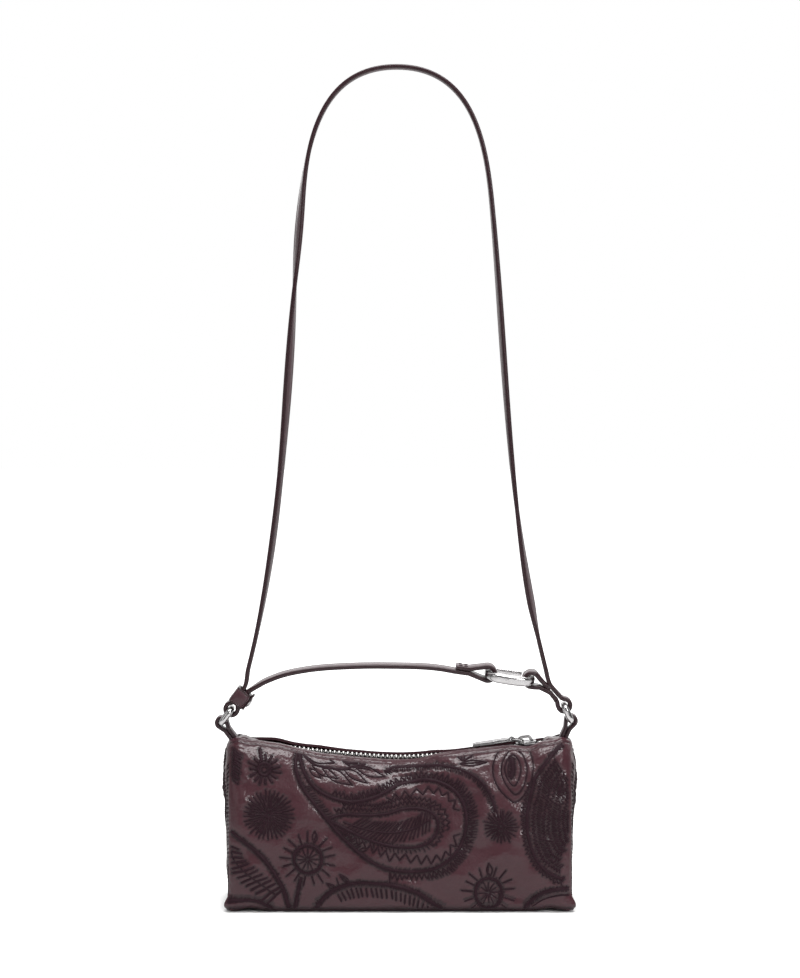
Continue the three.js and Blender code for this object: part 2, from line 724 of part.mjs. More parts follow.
// One corner: its tab, its ring, and where the ring's two bars lie.
function corner(name, footX, tabLean, ringLean) {
  const foot = flat(footX, cornerZ);
  const lower = foot.clone().addScaledVector(leaning(tabLean), TAB_LENGTH);
  const upper = lower.clone().addScaledVector(leaning(ringLean), RING_SPACING);
  const toFoot = leaning(tabLean).negate();
  const loop = loopLine(lower, toFoot, ringRadius + CLEARANCE, TAB_THICKNESS, TAB_THROAT);
  const slant = Math.tan(rad(tabLean));
  const legs = [1, -1].map((side) => {
    const across = side * loop.half;
    const edges = [across - TAB_THICKNESS / 2, across + TAB_THICKNESS / 2];
    const reach = TAB_LENGTH + Math.min(...edges.map((edge) => -edge * slant));
    const straight = Math.min(TONGUE, reach - TAB_THROAT - CLEARANCE);
    return tongueRun(loop.at(reach, across), leaning(tabLean), straight);
  });
  const line = [...legs[0], ...loop.line, ...legs[1].reverse()];
  const shape = ribbon(line, TAB_THICKNESS, { roundStart: true, roundEnd: true });
  place(part, `${name}_tab`, shape, STRAP_LEATHER);

  const seat = new THREE.Group();
  seat.position.set(lower.x, 0, lower.y);
  seat.rotation.y = rad(ringLean);
  part.add(seat);
  const across = STRAP_WIDTH + 2 * (RING_SIDE_CLEARANCE + RING_WIRE);
  const ring = wireRing(across, RING_SPACING + RING_WIRE, RING_CORNER, RING_WIRE)
    .rotateX(Math.PI / 2)
    .rotateZ(Math.PI / 2)
    .translate(0, 0, RING_SPACING / 2);
  place(seat, `${name}_ring`, ring, SILVER);
  return { lower, upper };
}

const left = corner("left", -HALF_WIDTH + TAB_INSET, -LEFT_TAB_LEAN, LEFT_RING_LEAN);
const right = corner(
  "right",
  HALF_WIDTH - TAB_INSET - RIGHT_TAB_SETBACK,
  RIGHT_TAB_LEAN,
  -RIGHT_RING_LEAN,
);

// Where the long strap and the handle fold

const strapFoldZ = left.upper.y + STRAP_FOLD_ABOVE_RING;
const strapUp = { left: leaning(STRAP_LEAN), right: leaning(-STRAP_LEAN) };
const loopRadius = ringRadius + RING_PLAY;

// The left loop comes down from the long strap, turns round the ring and goes on to the handle.
const leftAxis = leaning(LEFT_BUNDLE_LEAN);
const leftLoop = loopLine(left.upper, leftAxis, loopRadius, STRAP_THICKNESS, LOOP_THROAT);
const keeperEnd = KEEPER_START + KEEPER_LENGTH;
const keeperMouth = {
  strap: leftLoop.at(keeperEnd, leftLoop.half),
  handle: leftLoop.at(keeperEnd, -leftLoop.half),
};
const handleAlong = flat(Math.cos(rad(HANDLE_START_ANGLE)), Math.sin(rad(HANDLE_START_ANGLE)));
const handleFold = keeperMouth.handle.clone().addScaledVector(handleAlong, HANDLE_FOLD_FROM_KEEPER);

// The right loop comes up from the connector, turns round the ring and goes on to the long strap.
const rightAxis = leaning(-RIGHT_BUNDLE_LEAN);
const rightLoop = loopLine(
  right.upper,
  rightAxis,
  loopRadius,
  STRAP_THICKNESS,
  LOOP_THROAT,
  RIGHT_BUNDLE_GAP,
);
const bundleEnd = {
  connector: rightLoop.at(RIGHT_BUNDLE_LENGTH, rightLoop.half),
  strap: rightLoop.at(RIGHT_BUNDLE_LENGTH, -rightLoop.half),
};
const connectorAxis = leaning(-CONNECTOR_LEAN);
const connectorRun = (handleFold.y - bundleEnd.connector.y) / connectorAxis.y;
const connectorFold = bundleEnd.connector.clone().addScaledVector(connectorAxis, connectorRun);

const strapStart = flat(keeperMouth.strap.x + LEFT_STRAP_DRIFT, strapFoldZ);
const strapFinish = flat(bundleEnd.strap.x - RIGHT_STRAP_DRIFT, strapFoldZ);
const beforeTongue = -(TONGUE + TONGUE_GAP);

function leftLoopStrap() {
  const stubStrap = strapStart.clone().addScaledVector(strapUp.left, beforeTongue);
  const stubHandle = handleFold.clone().addScaledVector(handleAlong, beforeTongue);
  const down = strapUp.left.clone().negate();
  const inward = leftAxis.clone().negate();
  return ribbon(
    [
      ...bend(stubStrap, down, keeperMouth.strap, inward, STUB_BEND, 4),
      ...leftLoop.line,
      keeperMouth.handle,
      stubHandle,
    ],
    STRAP_THICKNESS,
  );
}

function rightLoopStrap() {
  const stubStrap = strapFinish.clone().addScaledVector(strapUp.right, beforeTongue);
  const stubConnector = connectorFold.clone().addScaledVector(connectorAxis, beforeTongue);
  return ribbon(
    [
      stubConnector,
      ...rightLoop.line,
      ...bend(bundleEnd.strap, rightAxis, stubStrap, strapUp.right, STUB_BEND, 4),
    ],
    STRAP_THICKNESS,
  );
}

// Keeper and rivet, in a group that stands on the ring's upper bar and leans with the bundle

const bundleSeat = new THREE.Group();
bundleSeat.position.set(left.upper.x, 0, left.upper.y);
bundleSeat.rotation.y = rad(LEFT_BUNDLE_LEAN);
part.add(bundleSeat);

const keeperInnerX = STRAP_THICKNESS + CLEARANCE / 2 + CLEARANCE;
const keeperInnerY = STRAP_WIDTH / 2 + CLEARANCE;
const keeperOuterX = keeperInnerX + KEEPER_WALL;
const rivetZ = KEEPER_START + KEEPER_LENGTH / 2;
const rivetHole = rod(RIVET_POST_RADIUS + CLEARANCE, -keeperInnerX, keeperOuterX + 1)
  .rotateY(Math.PI / 2)
  .translate(0, 0, rivetZ);

function keeper() {
  const outerY = keeperInnerY + KEEPER_WALL;
  const band = box(
    vec(-keeperOuterX, -outerY, KEEPER_START),
    vec(keeperOuterX, outerY, keeperEnd),
  );
  const passage = box(
    vec(-keeperInnerX, -keeperInnerY, KEEPER_START - 1),
    vec(keeperInnerX, keeperInnerY, keeperEnd + 1),
  );
  return cut(band, passage, rivetHole);
}

function rivetCap() {
  const profile = [
    flat(0, 0),
    flat(RIVET_CAP_RADIUS, 0),
    flat(RIVET_CAP_RADIUS, RIVET_CAP_HEIGHT * 0.35),
    flat(RIVET_CAP_RADIUS * 0.8, RIVET_CAP_HEIGHT * 0.8),
    flat(RIVET_CAP_RADIUS * 0.4, RIVET_CAP_HEIGHT),
    flat(0, RIVET_CAP_HEIGHT),
  ];
  return new THREE.LatheGeometry(profile, 20).rotateZ(-Math.PI / 2);
}

place(bundleSeat, "strap_keeper", keeper(), STRAP_LEATHER);
place(
  bundleSeat,
  "keeper_rivet_cap",
  rivetCap().translate(keeperOuterX + CLEARANCE, 0, rivetZ),
  SILVER,
);
place(
  bundleSeat,
  "keeper_rivet_post",
  rod(RIVET_POST_RADIUS, -keeperInnerX + CLEARANCE, keeperOuterX)
    .rotateY(Math.PI / 2)
    .translate(0, 0, rivetZ),
  SILVER,
);
const rivetHoleInPlace = rivetHole.clone()
  .rotateY(rad(LEFT_BUNDLE_LEAN))
  .translate(left.upper.x, 0, left.upper.y);
place(part, "strap_left_loop", cut(leftLoopStrap(), rivetHoleInPlace), STRAP_LEATHER);
place(part, "strap_right_loop", rightLoopStrap(), STRAP_LEATHER);

// Long strap, two legs that lean together and a round crown

const strapTop = flat(STRAP_CENTRE_X, TOTAL_HEIGHT - STRAP_THICKNESS / 2);

function longStrap() {
  const half = (fold, up, side) => {
    const shoulder = flat(
      STRAP_CENTRE_X + side * SHOULDER_HALF_SPREAD,
      strapTop.y - SHOULDER_FALL,
    );
    const rise = shoulder.y - fold.y;
    const lean = leaning(-side * SHOULDER_LEAN);
    const leg = bend(fold, up, shoulder, lean, rise / 3, 14);
    const crown = new THREE.CubicBezierCurve(
      shoulder,
      shoulder.clone().addScaledVector(lean, SHOULDER_FALL * 0.45),
      flat(STRAP_CENTRE_X + side * SHOULDER_HALF_SPREAD * 0.8, strapTop.y),
      strapTop,
    );
    const tip = fold.clone().addScaledVector(up, -TONGUE);
    return [...tongueRun(tip, up), ...leg, ...crown.getPoints(10)];
  };
  const line = [
    ...half(strapStart, strapUp.left, -1),
    ...half(strapFinish, strapUp.right, 1).reverse(),
  ];
  return ribbon(line, STRAP_THICKNESS, { roundStart: true, roundEnd: true });
}
place(part, "long_strap", longStrap(), STRAP_LEATHER);

// Handle, clip ring and connector, rolled together a little towards the front about their fold

const handleSeat = new THREE.Group();
handleSeat.position.z = handleFold.y;
handleSeat.rotation.x = rad(HANDLE_ROLL);
part.add(handleSeat);

const handleEnd = flat(handleFold.x, 0);
const connectorEnd = flat(connectorFold.x, 0);
const clipBars = CLIP_LENGTH - CLIP_BAND;
const clipAlong = flat(Math.cos(rad(CLIP_TILT)), -Math.sin(rad(CLIP_TILT)));
const clipRight = connectorEnd.clone().add(flat(-CLIP_FROM_FOLD, CLIP_ABOVE_FOLD));
const clipLeft = clipRight.clone().addScaledVector(clipAlong, -clipBars);
const clipLoopRadius = Math.hypot(CLIP_BAND, CLIP_HEIGHT) / 2 + CLEARANCE;

// The handle runs along its arch, turns round the ring's left bar and comes back as a flap.
function handleStrap() {
  const back = flat(-Math.cos(rad(HANDLE_LOOP_LEAN)), Math.sin(rad(HANDLE_LOOP_LEAN)));
  const loop = loopLine(clipLeft, back, clipLoopRadius, STRAP_THICKNESS, HANDLE_THROAT);
  const join = loop.at(HANDLE_THROAT + HANDLE_FLAP, loop.half);
  const flapEnd = loop.at(HANDLE_THROAT + HANDLE_FLAP, -loop.half);
  const span = join.distanceTo(handleEnd);
  const arch = new THREE.CubicBezierCurve(
    handleEnd,
    handleEnd.clone().addScaledVector(handleAlong, span * 0.3),
    join.clone().addScaledVector(back, span * 0.35),
    join,
  );
  const tip = handleEnd.clone().addScaledVector(handleAlong, -TONGUE);
  const line = [...tongueRun(tip, handleAlong), ...arch.getPoints(18), ...loop.line, flapEnd];
  return ribbon(line, STRAP_THICKNESS, { roundStart: true });
}

// The connector starts at its tail, turns round the ring's right bar and runs down to the fold.
function connectorLoop() {
  const reach = connectorEnd.clone().sub(clipRight).normalize();
  const beside = flat(-reach.y, reach.x).multiplyScalar((STRAP_THICKNESS + CLEARANCE) / 2);
  const down = connectorEnd.clone().add(beside).sub(clipRight).normalize();
  const loop = loopLine(clipRight, down, clipLoopRadius, STRAP_THICKNESS, CONNECTOR_THROAT);
  const tip = connectorEnd.clone().addScaledVector(connectorAxis, -TONGUE);
  const line = [...loop.line.slice(0, -1), ...tongueRun(tip, connectorAxis).reverse()];
  return ribbon(line, STRAP_THICKNESS, { roundEnd: true });
}

place(handleSeat, "handle_strap", handleStrap(), STRAP_LEATHER);
place(handleSeat, "connector_loop", connectorLoop(), STRAP_LEATHER);

// The ring's own group has X along its length and its gate on the far side.
const clipMiddle = clipLeft.clone().add(clipRight).multiplyScalar(0.5);
const clipSeat = new THREE.Group();
clipSeat.position.set(clipMiddle.x, 0, clipMiddle.y);
clipSeat.rotation.y = rad(CLIP_TILT);
handleSeat.add(clipSeat);

const gateOuterY = CLIP_WIDTH / 2;
const gateInnerY = gateOuterY - CLIP_BAND;
const gateY = (gateOuterY + gateInnerY) / 2;
const pinX = GATE_START - GATE_TONGUE_REACH / 2;
const tongueRoom = GATE_TONGUE / 2 + CLEARANCE;
const pinRoom = GATE_PIN_RADIUS + CLEARANCE;

function clipRing() {
  const outline = roundedRectangle(CLIP_LENGTH, CLIP_WIDTH, CLIP_CORNER);
  const inside = CLIP_CORNER - CLIP_BAND;
  const inner = roundedRectangle(
    CLIP_LENGTH - 2 * CLIP_BAND,
    CLIP_WIDTH - 2 * CLIP_BAND,
    inside,
    THREE.Path,
  );
  outline.holes.push(inner);
  const ring = upwards(outline, -CLIP_HEIGHT / 2, CLIP_HEIGHT / 2);
  const gap = box(
    vec(GATE_START - CLEARANCE, gateInnerY - 1, -CLIP_HEIGHT),
    vec(GATE_END + CLEARANCE, gateOuterY - GATE_LAP_THICKNESS, CLIP_HEIGHT),
  );
  const openSide = box(
    vec(GATE_START - CLEARANCE, gateInnerY, -CLIP_HEIGHT),
    vec(GATE_END + CLEARANCE - GATE_LAP, gateOuterY + 1, CLIP_HEIGHT),
  );
  const fork = box(
    vec(GATE_START - GATE_TONGUE_REACH - CLEARANCE, gateInnerY - 1, -tongueRoom),
    vec(GATE_START, gateOuterY + 1, tongueRoom),
  );
  const pinHole = rod(pinRoom, -CLIP_HEIGHT, CLIP_HEIGHT).translate(pinX, gateY, 0);
  const springRoom = rod(SPRING_RADIUS + CLEARANCE, 0, SPRING_LENGTH + CLEARANCE, 10)
    .rotateY(-Math.PI / 2)
    .translate(GATE_START - GATE_TONGUE_REACH, gateY, 0);
  return cut(ring, gap, openSide, fork, pinHole, springRoom);
}

function clipGate() {
  const bar = box(
    vec(GATE_START, gateInnerY, -CLIP_HEIGHT / 2),
    vec(GATE_END, gateOuterY, CLIP_HEIGHT / 2),
  );
  const swingRoom = box(
    vec(-CLIP_BAND, -CLIP_WIDTH, -CLIP_HEIGHT),
    vec(GATE_START - pinX, CLIP_WIDTH, CLIP_HEIGHT),
  ).rotateZ(rad(GATE_SWING)).translate(pinX, gateY, 0);
  const knuckle = GATE_START - pinX;
  const tongue = box(
    vec(pinX, gateY - knuckle, -GATE_TONGUE / 2),
    vec(GATE_START + knuckle, gateY + knuckle, GATE_TONGUE / 2),
  );
  const barrel = rod(knuckle, -GATE_TONGUE / 2, GATE_TONGUE / 2).translate(pinX, gateY, 0);
  const lap = box(
    vec(GATE_END - GATE_LAP, gateOuterY - GATE_LAP_THICKNESS - CLEARANCE, -CLIP_HEIGHT),
    vec(GATE_END + 1, gateOuterY + 1, CLIP_HEIGHT),
  );
  const pinHole = rod(pinRoom, -CLIP_HEIGHT, CLIP_HEIGHT).translate(pinX, gateY, 0);
  return cut(join(cut(bar, swingRoom), tongue, barrel), lap, pinHole);
}

place(clipSeat, "clip_ring", clipRing(), SILVER);
place(clipSeat, "clip_gate", clipGate(), SILVER);
place(
  clipSeat,
  "clip_gate_pin",
  rod(GATE_PIN_RADIUS, -CLIP_HEIGHT / 2, CLIP_HEIGHT / 2, 12).translate(pinX, gateY, 0),
  SILVER,
);
place(
  clipSeat,
  "clip_gate_spring",
  rod(SPRING_RADIUS, CLEARANCE, SPRING_LENGTH, 10)
    .rotateY(-Math.PI / 2)
    .translate(GATE_START - GATE_TONGUE_REACH, gateY, 0),
  SPRING_STEEL,
);

export default part;
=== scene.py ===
"""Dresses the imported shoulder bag: embroidered leather body, metal zip, straps and rings.

Sizes are in millimetres unless a name says otherwise. Every mesh ends in metres, in the frame of
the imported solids: +X runs along the zip, +Y to the back, +Z up, and the origin is under the base.
"""

import logging
import math
from dataclasses import dataclass, field
from enum import Enum
from math import pi, radians
from typing import Any, Callable, Iterable, Sequence

import bpy
import numpy as np
from mathutils import Matrix, Vector
from mathutils.kdtree import KDTree
from numpy.linalg import norm


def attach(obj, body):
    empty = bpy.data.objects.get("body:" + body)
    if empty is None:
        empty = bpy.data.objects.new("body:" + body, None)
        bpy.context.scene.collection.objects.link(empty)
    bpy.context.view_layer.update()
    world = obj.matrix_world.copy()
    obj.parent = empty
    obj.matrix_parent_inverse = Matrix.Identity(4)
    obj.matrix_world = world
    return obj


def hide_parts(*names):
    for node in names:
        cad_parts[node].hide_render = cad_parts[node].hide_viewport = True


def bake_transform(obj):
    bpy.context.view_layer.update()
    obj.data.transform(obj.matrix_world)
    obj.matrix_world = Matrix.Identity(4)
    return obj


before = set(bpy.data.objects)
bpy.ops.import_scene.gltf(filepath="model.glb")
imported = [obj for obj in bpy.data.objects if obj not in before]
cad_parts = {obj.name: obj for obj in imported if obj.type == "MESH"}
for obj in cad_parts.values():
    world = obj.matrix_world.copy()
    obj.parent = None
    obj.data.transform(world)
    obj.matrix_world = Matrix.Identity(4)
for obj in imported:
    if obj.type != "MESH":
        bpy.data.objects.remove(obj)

Array = np.ndarray
Piece = bpy.types.Object
Tree = bpy.types.NodeTree
Node = bpy.types.Node
Form = Callable[[Array, Array], Array]
Spot = Sequence[float]

LOG = logging.getLogger("shoulder_bag")
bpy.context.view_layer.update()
MM = 0.001


class Side(Enum):
    """A side of the bag."""

    FRONT = "front"
    BACK = "back"
    LEFT = "left"
    RIGHT = "right"

    @property
    def sign(self) -> int:
        """Where the side lies on its axis: -1 for the front and the left, 1 for the others."""
        return -1 if self in (Side.FRONT, Side.LEFT) else 1


# Numbers and lines


def smoothstep(low: float, high: float, value: Array) -> Array:
    """Eases from 0 at low to 1 at high."""
    share = np.clip((np.asarray(value, float) - low) / (high - low), 0.0, 1.0)
    return share * share * (3.0 - 2.0 * share)


def hump(value: Array, middle: float, width: float) -> Array:
    """Rises smoothly to 1 at a middle and fades over a width on both sides."""
    return np.exp(-(((value - middle) / width) ** 2))


def leaning(degrees: float) -> Array:
    """Unit vector in X and Z that leans from straight up towards +X."""
    angle = radians(degrees)
    return np.array([math.sin(angle), math.cos(angle)])


def resample(line: Array, step: float) -> Array:
    """Points at an even step along a line, both ends kept.

    Args:
        line: Points, one row each.
        step: Wanted distance between points.

    Returns:
        The new points.
    """
    line = np.asarray(line, float)
    gaps = norm(np.diff(line, axis=0), axis=1)
    keep = np.concatenate([[True], gaps > 1e-6])
    line = line[keep]
    reach = np.concatenate([[0.0], np.cumsum(norm(np.diff(line, axis=0), axis=1))])
    count = max(int(round(reach[-1] / step)), 2)
    wanted = np.linspace(0.0, reach[-1], count + 1)
    return np.stack([np.interp(wanted, reach, line[:, k]) for k in range(line.shape[1])], axis=1)


def flowing(points: Sequence[Spot], step: float, closed: bool = False) -> Array:
    """A smooth line through points, with points at an even step.

    Args:
        points: The points that the line passes through.
        step: Distance between points of the result.
        closed: Whether the line returns to its first point.

    Returns:
        The line's points, the first repeated at the end of a closed line.
    """
    knots = np.asarray(points, float)
    if closed:
        knots = np.vstack([knots[-1], knots, knots[:2]])
    else:
        knots = np.vstack([2 * knots[0] - knots[1], knots, 2 * knots[-1] - knots[-2]])
    shares = np.linspace(0.0, 1.0, 16, endpoint=False)[:, None]
    pieces = []
    for a, b, c, d in zip(knots, knots[1:], knots[2:], knots[3:]):
        curve = (2 * b + (c - a) * shares + (2 * a - 5 * b + 4 * c - d) * shares**2
            + (3 * b - a - 3 * c + d) * shares**3)
        pieces.append(curve / 2)
    pieces.append(knots[-2][None, :])
    return resample(np.vstack(pieces), step)


def part(line: Array, start: float, end: float = 1.0) -> Array:
    """The stretch of a line between two shares of its points."""
    return line[int(start * len(line)):int(end * len(line))]


def bezier(a: Array, b: Array, c: Array, d: Array, count: int) -> Array:
    """Points of a cubic curve from a to d with handles b and c.

    Args:
        a: First point.
        b: Handle of the first point.
        c: Handle of the last point.
        d: Last point.
        count: Number of steps.

    Returns:
        The points, one row each.
    """
    t = np.linspace(0.0, 1.0, count + 1)[:, None]
    u = 1.0 - t
    return u**3 * a + 3 * u**2 * t * b + 3 * u * t**2 * c + t**3 * d


def bend(start: Array, leaving: Array, end: Array, arriving: Array, pull: float,
        count: int) -> Array:
    """Points of a bend that leaves and arrives along given directions."""
    return bezier(start, start + leaving * pull, end - arriving * pull, end, count)


def left_of(line: Array) -> Array:
    """Unit vectors to the left of a line's direction, one for each point.

    Args:
        line: Points in order, one row each.

    Returns:
        The vectors, one row each.
    """
    along = np.gradient(line, axis=0)
    along /= norm(along, axis=1)[:, None] + 1e-12
    return np.stack([-along[:, 1], along[:, 0]], axis=1)


# Modelling by hand


def only(obj: Piece) -> Piece:
    """Selects one object alone and makes it active.

    Args:
        obj: The object.

    Returns:
        The same object.
    """
    bpy.ops.object.select_all(action="DESELECT")
    obj.select_set(True)
    bpy.context.view_layer.objects.active = obj
    return obj


def coords(obj: Piece) -> Array:
    """An object's mesh points, one row each.

    Args:
        obj: The object.

    Returns:
        The places, in the object's own space.
    """
    flat = np.empty(len(obj.data.vertices) * 3, np.float32)
    obj.data.vertices.foreach_get("co", flat)
    return flat.reshape(-1, 3).astype(float)


def move_points(obj: Piece, points: Array) -> None:
    """Puts an object's mesh points at new places."""
    obj.data.vertices.foreach_set("co", np.ascontiguousarray(points, np.float32).ravel())
    obj.data.update()


def paint(obj: Piece, name: str, values: Array) -> None:
    """Keeps a value for each point of a mesh, for its finish to read."""
    layer = obj.data.attributes.new(name, "FLOAT", "POINT")
    layer.data.foreach_set("value", np.ascontiguousarray(values, np.float32))


def applied(obj: Piece, kind: str, **settings: Any) -> Piece:
    """Adds a modifier with settings and applies it.

    Args:
        obj: The object.
        kind: Type of the modifier.
        **settings: Values of the modifier.

    Returns:
        The same object.
    """
    only(obj)
    modifier = obj.modifiers.new(kind.title(), kind)
    for key, value in settings.items():
        setattr(modifier, key, value)
    bpy.ops.object.modifier_apply(modifier=modifier.name)
    return obj


def named(name: str) -> Piece:
    """Names the object that was made last, and gives it.

    Args:
        name: Name for the object and its data.

    Returns:
        The object.
    """
    obj = bpy.context.object
    obj.name = obj.data.name = name
    return obj


def primitive(kind: str, name: str, **settings: Any) -> Piece:
    """Adds a primitive of a kind, selected alone.

    Args:
        kind: Word for the shape.
        name: Name of the object.
        **settings: Sizes and counts of the shape.

    Returns:
        The new object.
    """
    bpy.ops.object.select_all(action="DESELECT")
    getattr(bpy.ops.mesh, f"primitive_{kind}_add")(**settings)
    return named(name)


def edited(obj: Piece, *steps: Callable[[], Any]) -> Piece:
    """Takes steps in edit mode with all of a mesh selected.

    Args:
        obj: The object.
        *steps: What is done, in order.

    Returns:
        The same object.
    """
    only(obj)
    bpy.ops.object.mode_set(mode="EDIT")
    bpy.ops.mesh.select_all(action="SELECT")
    for step in steps:
        step()
    bpy.ops.object.mode_set(mode="OBJECT")
    return obj


def face_out() -> None:
    """Turns the selected faces outwards, in edit mode."""
    bpy.ops.mesh.normals_make_consistent(inside=False)


def closed_up(obj: Piece, distance: float = 1e-4) -> Piece:
    """Merges doubled points and turns all faces outwards."""
    return edited(obj, lambda: bpy.ops.mesh.remove_doubles(threshold=distance), face_out)


def smooth_shaded(obj: Piece, degrees: float = 40.0) -> Piece:
    """Shades an object smooth, but for edges sharper than an angle.

    Args:
        obj: The object.
        degrees: The angle.

    Returns:
        The same object.
    """
    only(obj)
    bpy.ops.object.shade_smooth_by_angle(angle=radians(degrees))
    return obj


def scaled_to_metres(obj: Piece, place: Matrix | None = None) -> Piece:
    """Puts a mesh drawn in millimetres at its place, in metres.

    Args:
        obj: The object, whose own transform is left at rest.
        place: Where it goes, in millimetres.

    Returns:
        The same object.
    """
    obj.data.transform(Matrix.Scale(MM, 4) @ (place or Matrix.Identity(4)))
    obj.data.update()
    return obj


def tilted(place: Spot, degrees: float) -> Matrix:
    """A place in X and Z, turned about Y."""
    return (Matrix.Translation((place[0], 0, place[1])) @ Matrix.Rotation(radians(degrees), 4, "Y"))


def stretched_grid(name: str, across: int, along: int, place: Form, outward: Spot) -> Piece:
    """A grid of leather or cloth, pulled to its form point by point.

    Args:
        name: Name of the piece.
        across: Cells in the grid's first direction.
        along: Cells in the grid's second direction.
        place: Gives the points in millimetres for two arrays of shares from 0 to 1.
        outward: Direction that the face looks in on the whole.

    Returns:
        The new object, one layer thick.
    """
    obj = primitive("grid", name, x_subdivisions=across, y_subdivisions=along, size=2.0)
    plan = (coords(obj)[:, :2] + 1.0) / 2.0
    move_points(obj, place(plan[:, 0], plan[:, 1]) * MM)
    facing = np.array([face.normal for face in obj.data.polygons]) @ np.asarray(outward, float)
    return edited(obj, bpy.ops.mesh.flip_normals) if facing.mean() < 0 else obj


@dataclass
class Run:
    """One line of a drawing that a wire, a thread or a strap follows."""

    line: Array
    radii: Array | None = None
    tilts: Array | None = None
    closed: bool = False


def drawn_curve(name: str, runs: Iterable[Run]) -> Piece:
    """A curve object that holds lines drawn flat in X and Y.

    Args:
        name: Name of the object.
        runs: The lines.

    Returns:
        The curve object.
    """
    curve = bpy.data.curves.new(name, "CURVE")
    curve.dimensions = "3D"
    curve.twist_mode = "Z_UP"
    for run in runs:
        count = len(run.line)
        spline = curve.splines.new("POLY")
        spline.points.add(count - 1)
        spline.use_cyclic_u = run.closed
        places = np.zeros((count, 4))
        places[:, :2] = run.line
        places[:, 3] = 1.0
        spline.points.foreach_set("co", places.ravel())
        if run.radii is not None:
            spline.points.foreach_set("radius", run.radii)
        if run.tilts is not None:
            spline.points.foreach_set("tilt", run.tilts)
    obj = bpy.data.objects.new(name, curve)
    bpy.context.scene.collection.objects.link(obj)
    return obj


def swept(name: str, runs: Iterable[Run], section: Array | None = None, radius: float = 1.0,
        roundness: int = 1) -> Piece:
    """A solid drawn along flat lines, in millimetres, lying in X and Y.

    Args:
        name: Name of the piece.
        runs: The lines that it follows.
        section: Closed outline of its section, first across the line and then upwards, or none
            for a round wire.
        radius: Radius of a round wire.
        roundness: Steps in a quarter of a round wire.

    Returns:
        The closed mesh.
    """
    obj = drawn_curve(name, runs)
    obj.data.use_fill_caps = True
    outline = None
    if section is None:
        obj.data.bevel_depth = radius
        obj.data.bevel_resolution = roundness
    else:
        outline = drawn_curve(f"{name}_section", [Run(section, closed=True)])
        obj.data.bevel_mode = "OBJECT"
        obj.data.bevel_object = outline
    only(obj)
    bpy.ops.object.convert(target="MESH")
    obj = named(name)
    if outline is not None:
        bpy.data.objects.remove(outline)
    return closed_up(obj)


STAND_UP = Matrix.Rotation(pi / 2, 4, "X")


def block(name: str, size: Spot, centre: Spot = (0, 0, 0)) -> Piece:
    """A cube primitive at its size and place in millimetres, ready to be shaped."""
    return edited(primitive("cube", name, size=1.0, location=(0, 0, 0)),
        lambda: bpy.ops.transform.resize(value=tuple(size)),
        lambda: bpy.ops.transform.translate(value=tuple(centre)))


def shape_faces(obj: Piece, test: Callable[[Vector], bool], *steps: Callable[[], Any]) -> None:
    """Takes steps in edit mode on the faces whose normal passes a test.

    Args:
        obj: The object.
        test: Says whether a normal passes.
        *steps: What is done, in order.
    """
    only(obj)
    bpy.ops.object.mode_set(mode="EDIT")
    bpy.ops.mesh.select_mode(type="FACE")
    bpy.ops.mesh.select_all(action="DESELECT")
    bpy.ops.object.mode_set(mode="OBJECT")
    for face in obj.data.polygons:
        face.select = test(face.normal)
    bpy.ops.object.mode_set(mode="EDIT")
    for step in steps:
        step()
    bpy.ops.object.mode_set(mode="OBJECT")


def joined(name: str, pieces: Sequence[Piece]) -> Piece:
    """Joins objects into the first and names the result.

    Args:
        name: Name of the result.
        pieces: The objects.

    Returns:
        The joined object.
    """
    only(pieces[0])
    for piece in pieces[1:]:
        piece.select_set(True)
    bpy.ops.object.join()
    return named(name)


# Finishes


def linear(code: str) -> tuple[float, float, float, float]:
    """A six-digit sRGB colour as linear values with full alpha.

    Args:
        code: Hexadecimal digits of red, green and blue.

    Returns:
        Red, green, blue and alpha.
    """
    values = [int(code[i:i + 2], 16) / 255 for i in (0, 2, 4)]
    parts = [v / 12.92 if v <= 0.04045 else ((v + 0.055) / 1.055) ** 2.4 for v in values]
    return parts[0], parts[1], parts[2], 1.0


def add(tree: Tree, kind: str, inputs: dict[str | int, Any] | None = None, **settings: Any) -> Node:
    """Adds a node with its settings, and fills or links its inputs.

    Args:
        tree: Node tree of a material or world.
        kind: The node's type name without its ShaderNode start.
        inputs: Values, output sockets, or nodes for their first output, by input.
        settings: Attributes of the node.

    Returns:
        The new node.
    """
    node = tree.nodes.new(f"ShaderNode{kind}")
    for key, value in settings.items():
        setattr(node, key, value)
    for key, value in (inputs or {}).items():
        if isinstance(value, Node):
            value = value.outputs[0]
        if isinstance(value, bpy.types.NodeSocket):
            tree.links.new(value, node.inputs[key])
        else:
            node.inputs[key].default_value = value
    return node


def fresh_tree(owner: bpy.types.Material | bpy.types.World) -> Tree:
    """Turns on the nodes of a material or world and clears them.

    Args:
        owner: The material or world.

    Returns:
        Its empty nodes.
    """
    owner.use_nodes = True
    owner.node_tree.nodes.clear()
    return owner.node_tree


class Finish:
    """A material that is made once and shared by the pieces that wear it."""

    name: str = ""
    slot: str = ""

    def material(self) -> bpy.types.Material:
        """Gives the finish's material, and makes it at first use.

        Returns:
            The material.
        """
        known = bpy.data.materials.get(self.name)
        if known is not None and known.get("finished"):
            return known
        made = bpy.data.materials.new(self.name)
        made["finished"] = True
        tree = fresh_tree(made)
        add(tree, "OutputMaterial", {"Surface": self.shader(tree)})
        return made

    def shader(self, tree: Tree) -> Node:
        """Makes the nodes and gives the last shader."""
        raise NotImplementedError


